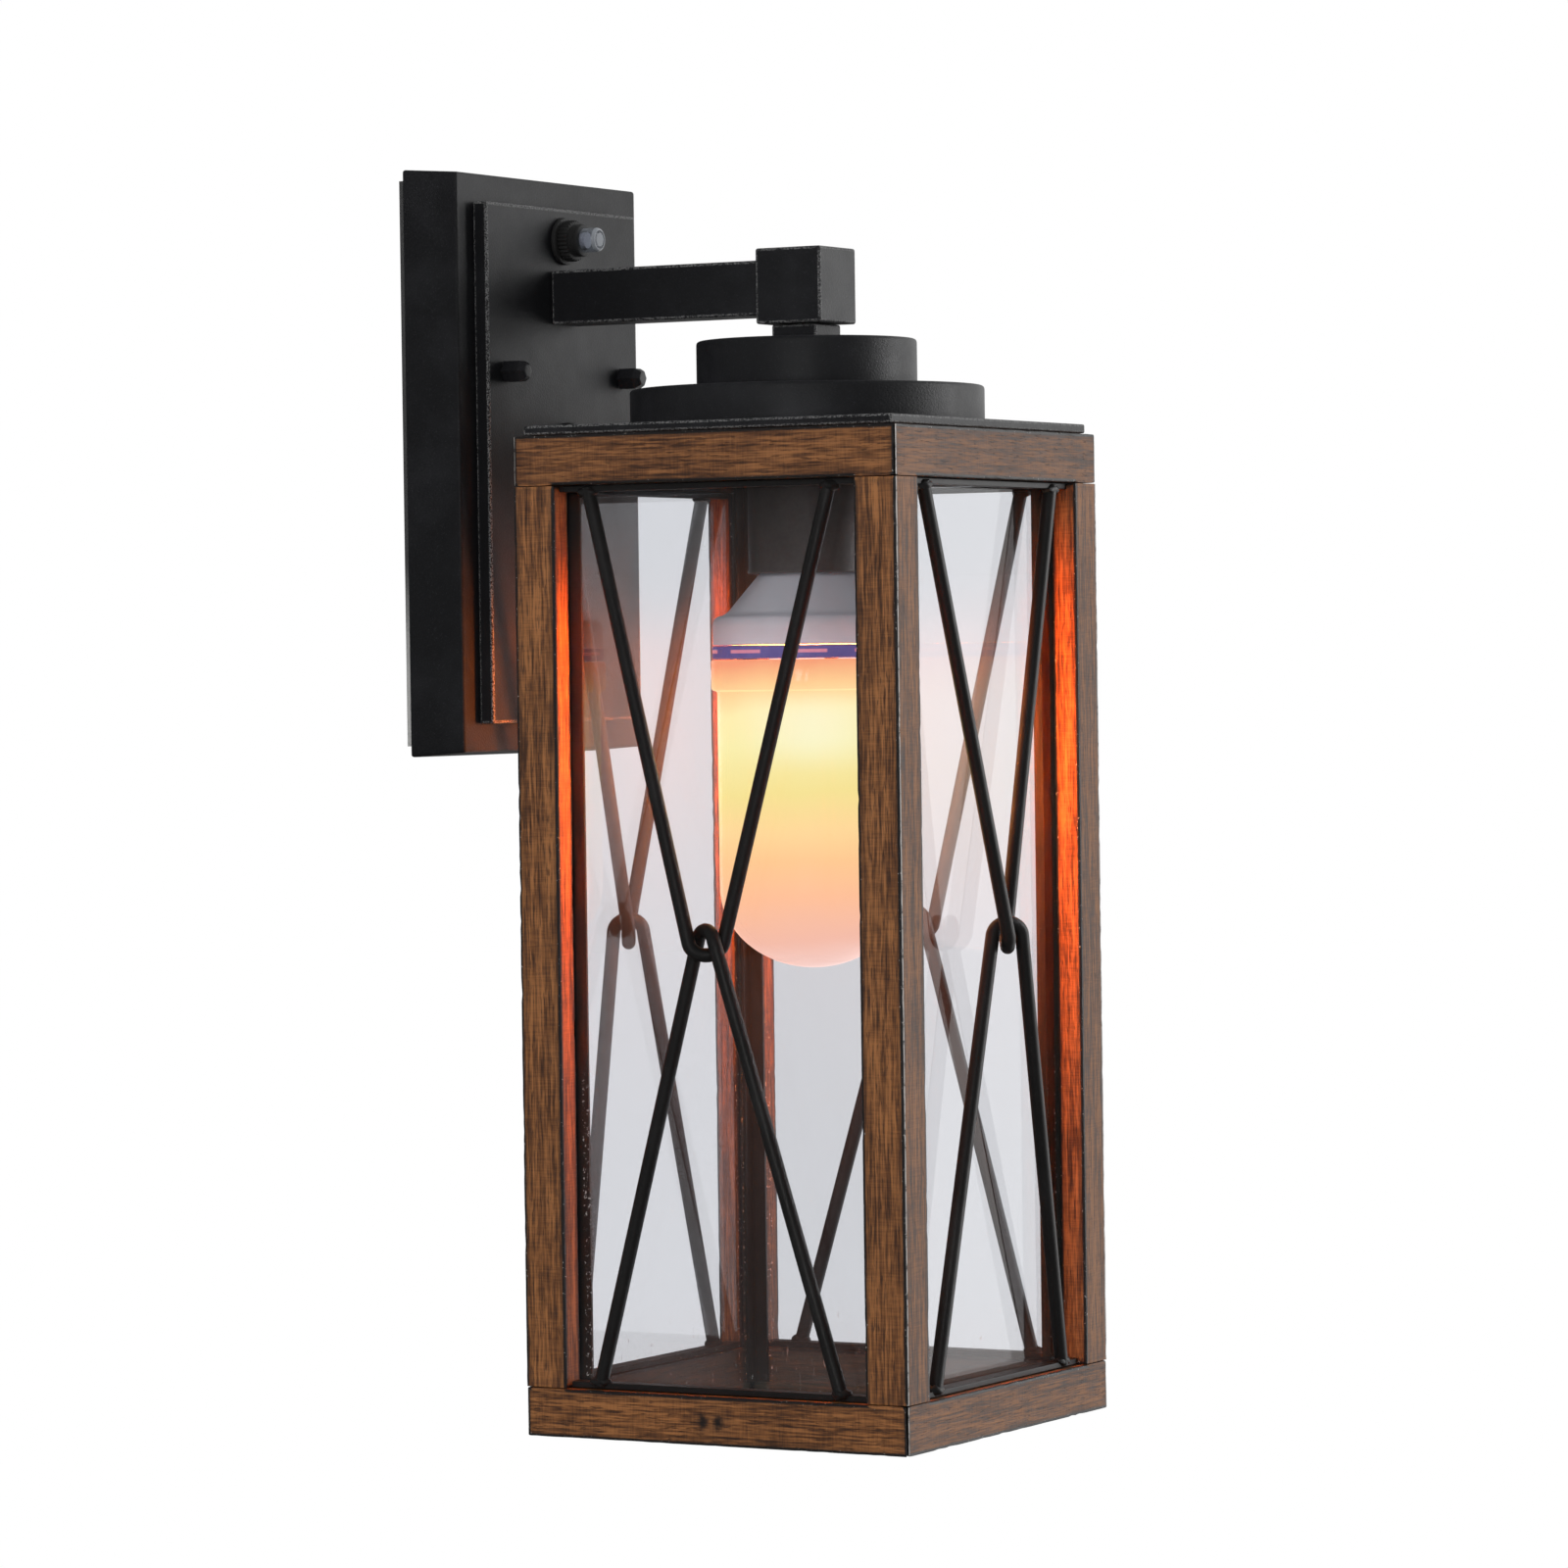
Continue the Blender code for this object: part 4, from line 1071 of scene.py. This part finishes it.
def fixings():
    """Turned pieces that stand on the step's front face: two six-sided cap nuts and a screw head.

    The head's dome is (r sin a, h cos a) from its tip down to a short straight side.
    """
    for side in ("left", "right"):
        low, high = box_mm("cap_nut_" + side)
        x, foot, tip = (low[0] + high[0]) / 2, -high[1], -low[1]
        nut = [(0, tip), (2.2, tip), (2.75, tip - 0.35), (3.9, tip - 2.3), (3.9, foot + 0.3), (3.6, foot)]
        nut += [(2.5, foot), (2.5, tip - 3.0), (0, tip - 3.0)]  # the blind hole for the stud
        shape = turned(eased(nut, 0.25, 2), NUT_SIDES, (x, 0, 0), wallward=True)
        piece("nut_cap_" + side, [shape], COAT, "nut_" + side, ["cap_nut_" + side], 25)

    low, high = box_mm("cover_screw")
    height, tip, foot = (low[2] + high[2]) / 2, -low[1], SEAM - box_mm("backplate_step")[0][1]
    side, rise = foot + SCREW_SIDE, tip - foot - SCREW_SIDE
    angle = np.linspace(0, math.pi / 2, 9)
    dome = [(SCREW_RADIUS * math.sin(a), side + rise * math.cos(a)) for a in angle]
    screw = dome + [(SCREW_RADIUS, foot), (2.0, foot), (2.0, foot - 11), (0, foot - 11)]
    shape = turned(screw, 48, (0, 0, height), wallward=True)
    piece("screw_head", [shape], COAT, "lantern", ["cover_screw"])


def knurl(profile, angle):
    """Fine teeth round the flange: the radius there is r + depth cos(teeth a)."""
    on_flange = (profile[:, :1] > FLANGE_FROM) * 1.0
    return KNURL_DEPTH * on_flange * np.cos(KNURL_TEETH * angle)


def sensor():
    """Washer, threaded body with its knurled flange, and the clear flat-ended cap, all about one axis."""
    low, high = box_mm("photocell_washer")
    at = (0, 0, (low[2] + high[2]) / 2)
    foot = -high[1]
    washer = eased([(4.9, foot), (7.9, foot), (7.9, foot + 1.5), (4.9, foot + 1.5)], 0.4, 3)
    shape = turned(washer, 64, at, True, loop=True)
    piece("sensor_washer", [shape], RUBBER, "lantern", ["photocell_washer"])

    body = [(2.2, foot + 6.0), (3.4, foot + 6.0), (3.4, foot + 8.3), (5.1, foot + 8.3), (5.45, foot + 7.9)]
    for groove in range(3):
        at_groove = foot + 7.4 - 0.7 * groove
        body += [(5.45, at_groove), (5.2, at_groove - 0.2), (5.45, at_groove - 0.4)]
    body += [(5.45, foot + 5.3), (6.4, foot + 5.1), (6.6, foot + 4.7), (6.6, foot + 2.2), (6.3, foot + 1.8)]
    body += [(4.5, foot + 1.8), (4.5, foot - 16.0), (2.2, foot - 16.0)]
    shape = turned(body, 180, at, True, loop=True, ripple=knurl)
    piece("sensor_body", [shape], RUBBER, "lantern", ["photocell_body"])

    low, high = box_mm("photocell_cap")
    tip, base, radius = -low[1], -high[1], high[0]
    outside = eased([(0, tip), (radius - 0.5, tip), (radius, tip - 0.9), (radius, base)], 0.6, 4)
    inside = [(radius - 0.8, base), (radius - 0.8, tip - 1.0), (0, tip - 1.0)]
    shape = turned(np.concatenate((outside, inside)), 64, at, True, loop=True)
    piece("sensor_cap", [shape], CLEAR_CAP, "lantern", ["photocell_cap"])


fixings()
sensor()

# %% [markdown]
# The hooked rods. Each is round bar bent to a narrow V; an upper and a lower one hook through each other
# at the middle of the face, and both feet are welded to a flat bar. The centre line is two straight legs
# that touch a small circle, and a circle of points is carried along it. The legs of one rod pass in front
# of and behind the other's.

# %% Hooked rods
ROD = 2.3  # radius of the bar, in mm like all of these
HOOK = 4.8  # radius of the bend's centre line
HOOK_LAP = 7.9  # how far the two bends overlap in height
HOOK_SPLIT = 3.0  # how far a rod swings in and out of the face across its bend
HOOK_OUT = 1.0
HOOK_Z = OPENING_TOP - 146.7
FOOT_SPREAD = 44.4  # from the middle of the face to a foot
FOOT_IN = 4.0
BAR_IN = 3.0  # the flat bar's front below the face
BAR_DEPTH = 5.4
BAR_THICK = 2.0
BEAD = (3.5, 2.7, 1.9)  # half sizes of a weld bead
BEAD_DROP = 1.2
print("rod radius", ROD, "hook height", HOOK_Z)


def rod_line(way):
    """Centre line of the front rod from foot to foot, in mm; way is 1 for the upper rod and -1 for the
    lower.

    The bend is (R cos a, way split cos a - out, middle + way R sin a). It runs between the angles at
    which a straight leg from each foot touches it: the leg's own slope less asin(R / distance to the
    foot).
    """
    edge = OPENING_TOP - SEAM if way > 0 else OPENING_LOW + SEAM
    foot_z = edge - way * BAR_THICK / 2
    middle_z = HOOK_Z - way * (HOOK_LAP / 2 - HOOK)
    reach = math.hypot(FOOT_SPREAD, foot_z - middle_z)
    lean = math.atan2(FOOT_SPREAD, abs(foot_z - middle_z)) - math.asin(HOOK / reach)
    angle = np.linspace(math.pi + lean, 2 * math.pi - lean, 25)
    share = np.cos(angle)
    depth, height = way * HOOK_SPLIT * share - HOOK_OUT, middle_z + way * HOOK * np.sin(angle)
    bend = np.column_stack((HOOK * share, depth, height))
    first = np.array([-FOOT_SPREAD, FOOT_IN, foot_z])
    last = np.array([FOOT_SPREAD, FOOT_IN, foot_z])
    t = np.linspace(0, 1, 24, endpoint=False)[:, None]
    return np.concatenate((first + (bend[0] - first) * t, bend, last + (bend[-1] - last) * t[::-1]))


def swept(line, radius, sides=16):
    """A round bar along a line: a ring is point + r (side cos a + depth sin a), across the line."""
    along = np.gradient(line, axis=0)
    along /= np.linalg.norm(along, axis=1, keepdims=True)
    side = np.cross(along, (0.0, 1.0, 0.0))
    side /= np.linalg.norm(side, axis=1, keepdims=True)
    depth = np.cross(side, along)
    angle = np.linspace(0, 2 * math.pi, sides, endpoint=False)[None, :, None]
    return line[:, None] + radius * (np.cos(angle) * side[:, None] + np.sin(angle) * depth[:, None])


def weld(centre, seed):
    """A lumpy bead: an ellipsoid times 1 + 0.10 sin(3a + p) cos(2b) + 0.07 sin(5a + 3b + q)."""
    random = np.random.default_rng(seed)
    up = np.linspace(-math.pi / 2, math.pi / 2, 13)[:, None]
    round_angle = np.linspace(0, 2 * math.pi, 24, endpoint=False)[None, :]
    phase = random.random(3) * 6.28
    coarse = np.sin(3 * round_angle + phase[0]) * np.cos(2 * up)
    lumps = 1 + 0.10 * coarse + 0.07 * np.sin(5 * round_angle + 3 * up + phase[1])
    x = BEAD[0] * lumps * np.cos(up) * np.cos(round_angle)
    y = BEAD[1] * lumps * np.cos(up) * np.sin(round_angle)
    z = BEAD[2] * lumps * np.sin(up) * np.ones_like(round_angle)
    return np.stack((x, y, z), axis=-1) + np.array(centre)


def grille(number, face, way):
    """One rod with its flat bar and two weld beads, on one face of the cage."""
    line = rod_line(way)
    half = HALF - STILE - SEAM
    edge = OPENING_TOP - SEAM if way > 0 else OPENING_LOW + SEAM
    low = edge - BAR_THICK if way > 0 else edge

    def on_face(points):
        """Points measured from the front face's middle, moved to the wanted face."""
        return quarter_turned(points + np.array([0, AXIS_Y - HALF, 0]), number)

    def place(grid):
        """The flat bar runs along the face, from one side of the opening to the other."""
        points = np.stack((grid[..., 2] - half, grid[..., 0] + BAR_IN, grid[..., 1] + low), axis=-1)
        return on_face(points)

    flat = bar(rectangle(0, BAR_DEPTH, 0, BAR_THICK), 2 * half, 0.35, place)
    rod = skin(on_face(swept(line, ROD)))
    feet = line[[0, -1]] - np.array([0, 0, way * BEAD_DROP])
    beads = [skin(on_face(weld(foot, 5 + number + i)), caps=False) for i, foot in enumerate(feet)]
    which = "upper" if way > 0 else "lower"
    name = "rods_" + which + "_" + face
    return piece(name, [flat, rod, *beads], IRON, "lantern", ["grille_" + which + "_" + face])


for number, face in enumerate(FACES):
    grille(number, face, 1)
    grille(number, face, -1)

# %% [markdown]
# The studio: a plain pale floor far below, because the lantern hangs on a wall, a white world, and large
# soft lights. The camera sees the world as plain white, and the parts get a dimmer share of it, so black
# metal stays black.

# %% Floor, world and lights
FLOOR_RADIUS = 30  # metres
FLOOR_HEIGHT = -1.6
FLOOR_SIDES = 96


def floor():
    """A pale round floor under the hanging lantern: points (R cos a, R sin a) at one height."""
    mesh = bpy.data.meshes.new("studio_floor")
    angle = np.linspace(0, 2 * math.pi, FLOOR_SIDES, endpoint=False)
    height = np.full(FLOOR_SIDES, FLOOR_HEIGHT)
    points = np.column_stack((FLOOR_RADIUS * np.cos(angle), FLOOR_RADIUS * np.sin(angle), height))
    mesh.from_pydata(points.tolist(), [], [list(range(FLOOR_SIDES))])
    made = Finish("floor_white")
    cloud = made.noise(made.here, 0.0004, 2.0)
    mesh.materials.append(
        made.shade(
            Base_Color=made.mix(cloud, (0.0, 0.0, 0.0), (0.004, 0.004, 0.004)),
            Roughness=0.9,
            Specular_IOR_Level=0.0,
            Emission_Color=(1.0, 1.0, 1.0),
            Emission_Strength=1.0,
        )
    )
    obj = bpy.data.objects.new("studio_floor", mesh)
    obj.visible_diffuse = False
    obj.visible_glossy = False
    bpy.context.scene.collection.objects.link(obj)


def world(seen, felt_low, felt_high, bright_from, bright_side):
    """A white world: full white to the camera; as light it is dim, and brighter towards one side.

    The light felt from a direction rises smoothly from low to high as the direction's cosine with the
    bright side goes from bright_from to 1.
    """
    made = bpy.data.worlds.new("studio")
    bpy.context.scene.world = made
    made.use_nodes = True
    tree = made.node_tree
    tree.nodes.clear()
    here = tree.nodes.new("ShaderNodeTexCoord")
    towards = tree.nodes.new("ShaderNodeVectorMath")
    towards.operation = "DOT_PRODUCT"
    towards.inputs[1].default_value = Vector(bright_side).normalized()
    tree.links.new(here.outputs["Generated"], towards.inputs[0])
    felt = tree.nodes.new("ShaderNodeMapRange")
    felt.interpolation_type = "SMOOTHSTEP"
    felt.inputs["From Min"].default_value = bright_from
    felt.inputs["To Min"].default_value = felt_low
    felt.inputs["To Max"].default_value = felt_high
    tree.links.new(towards.outputs["Value"], felt.inputs["Value"])
    path = tree.nodes.new("ShaderNodeLightPath")
    strength = tree.nodes.new("ShaderNodeMapRange")
    strength.inputs["To Max"].default_value = seen
    tree.links.new(path.outputs["Is Camera Ray"], strength.inputs["Value"])
    tree.links.new(felt.outputs["Result"], strength.inputs["To Min"])
    back = tree.nodes.new("ShaderNodeBackground")
    back.inputs["Color"].default_value = (1.0, 1.0, 1.0, 1.0)
    tree.links.new(strength.outputs["Result"], back.inputs["Strength"])
    out = tree.nodes.new("ShaderNodeOutputWorld")
    tree.links.new(back.outputs["Background"], out.inputs["Surface"])


LANTERN_MIDDLE = Vector((0, AXIS_Y * MM, -0.16))
LAMP_LIGHT_RADIUS = 0.010


def softbox(name, at, size, power, mirrored=False):
    """An oblong soft light aimed at the lantern's middle; only a mirrored one shows in gloss."""
    light = bpy.data.lights.new(name, "AREA")
    light.shape = "RECTANGLE"
    light.size, light.size_y = size
    light.energy = power
    obj = bpy.data.objects.new(name, light)
    obj.visible_glossy = mirrored
    aim = (Vector(at) - LANTERN_MIDDLE).to_track_quat("Z", "Y")
    obj.matrix_world = Matrix.LocRotScale(Vector(at), aim, None)
    obj.visible_camera = False
    bpy.context.scene.collection.objects.link(obj)


def lamp_light(height, power, colour):
    """A small ball of light inside the globe, which lets it out; it lights the cage and isn't seen itself."""
    light = bpy.data.lights.new("lamp_light", "POINT")
    light.shadow_soft_size = LAMP_LIGHT_RADIUS
    light.use_soft_falloff = False
    light.energy = power
    light.color = colour
    obj = bpy.data.objects.new("lamp_light", light)
    obj.location = (0, AXIS_Y * MM, height * MM)
    obj.visible_camera = False
    obj.visible_glossy = False
    bpy.context.scene.collection.objects.link(obj)
    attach(obj, "lamp")


floor()
world(1.0, 0.10, 1.20, 0.50, (0.94, -0.34, 0.0))
softbox("softbox_key", (-1.80, -0.72, -0.12), (0.45, 0.28), 2.0, True)
softbox("softbox_right", (1.35, -1.87, 0.2), (0.5, 1.4), 12, True)
softbox("softbox_left", (-1.9, -1.0, 0.5), (1.2, 1.2), 26)
softbox("softbox_behind", (-1.3, 1.6, 0.4), (1.2, 1.2), 18)
softbox("softbox_top", (0.2, -0.4, 2.2), (1.4, 1.4), 20)
lamp_light(-110, 4.4, (1.0, 0.18, 0.015))
lamp_light(-128, 1.4, (1.0, 0.24, 0.04))
bpy.context.scene.view_settings.view_transform = "Standard"
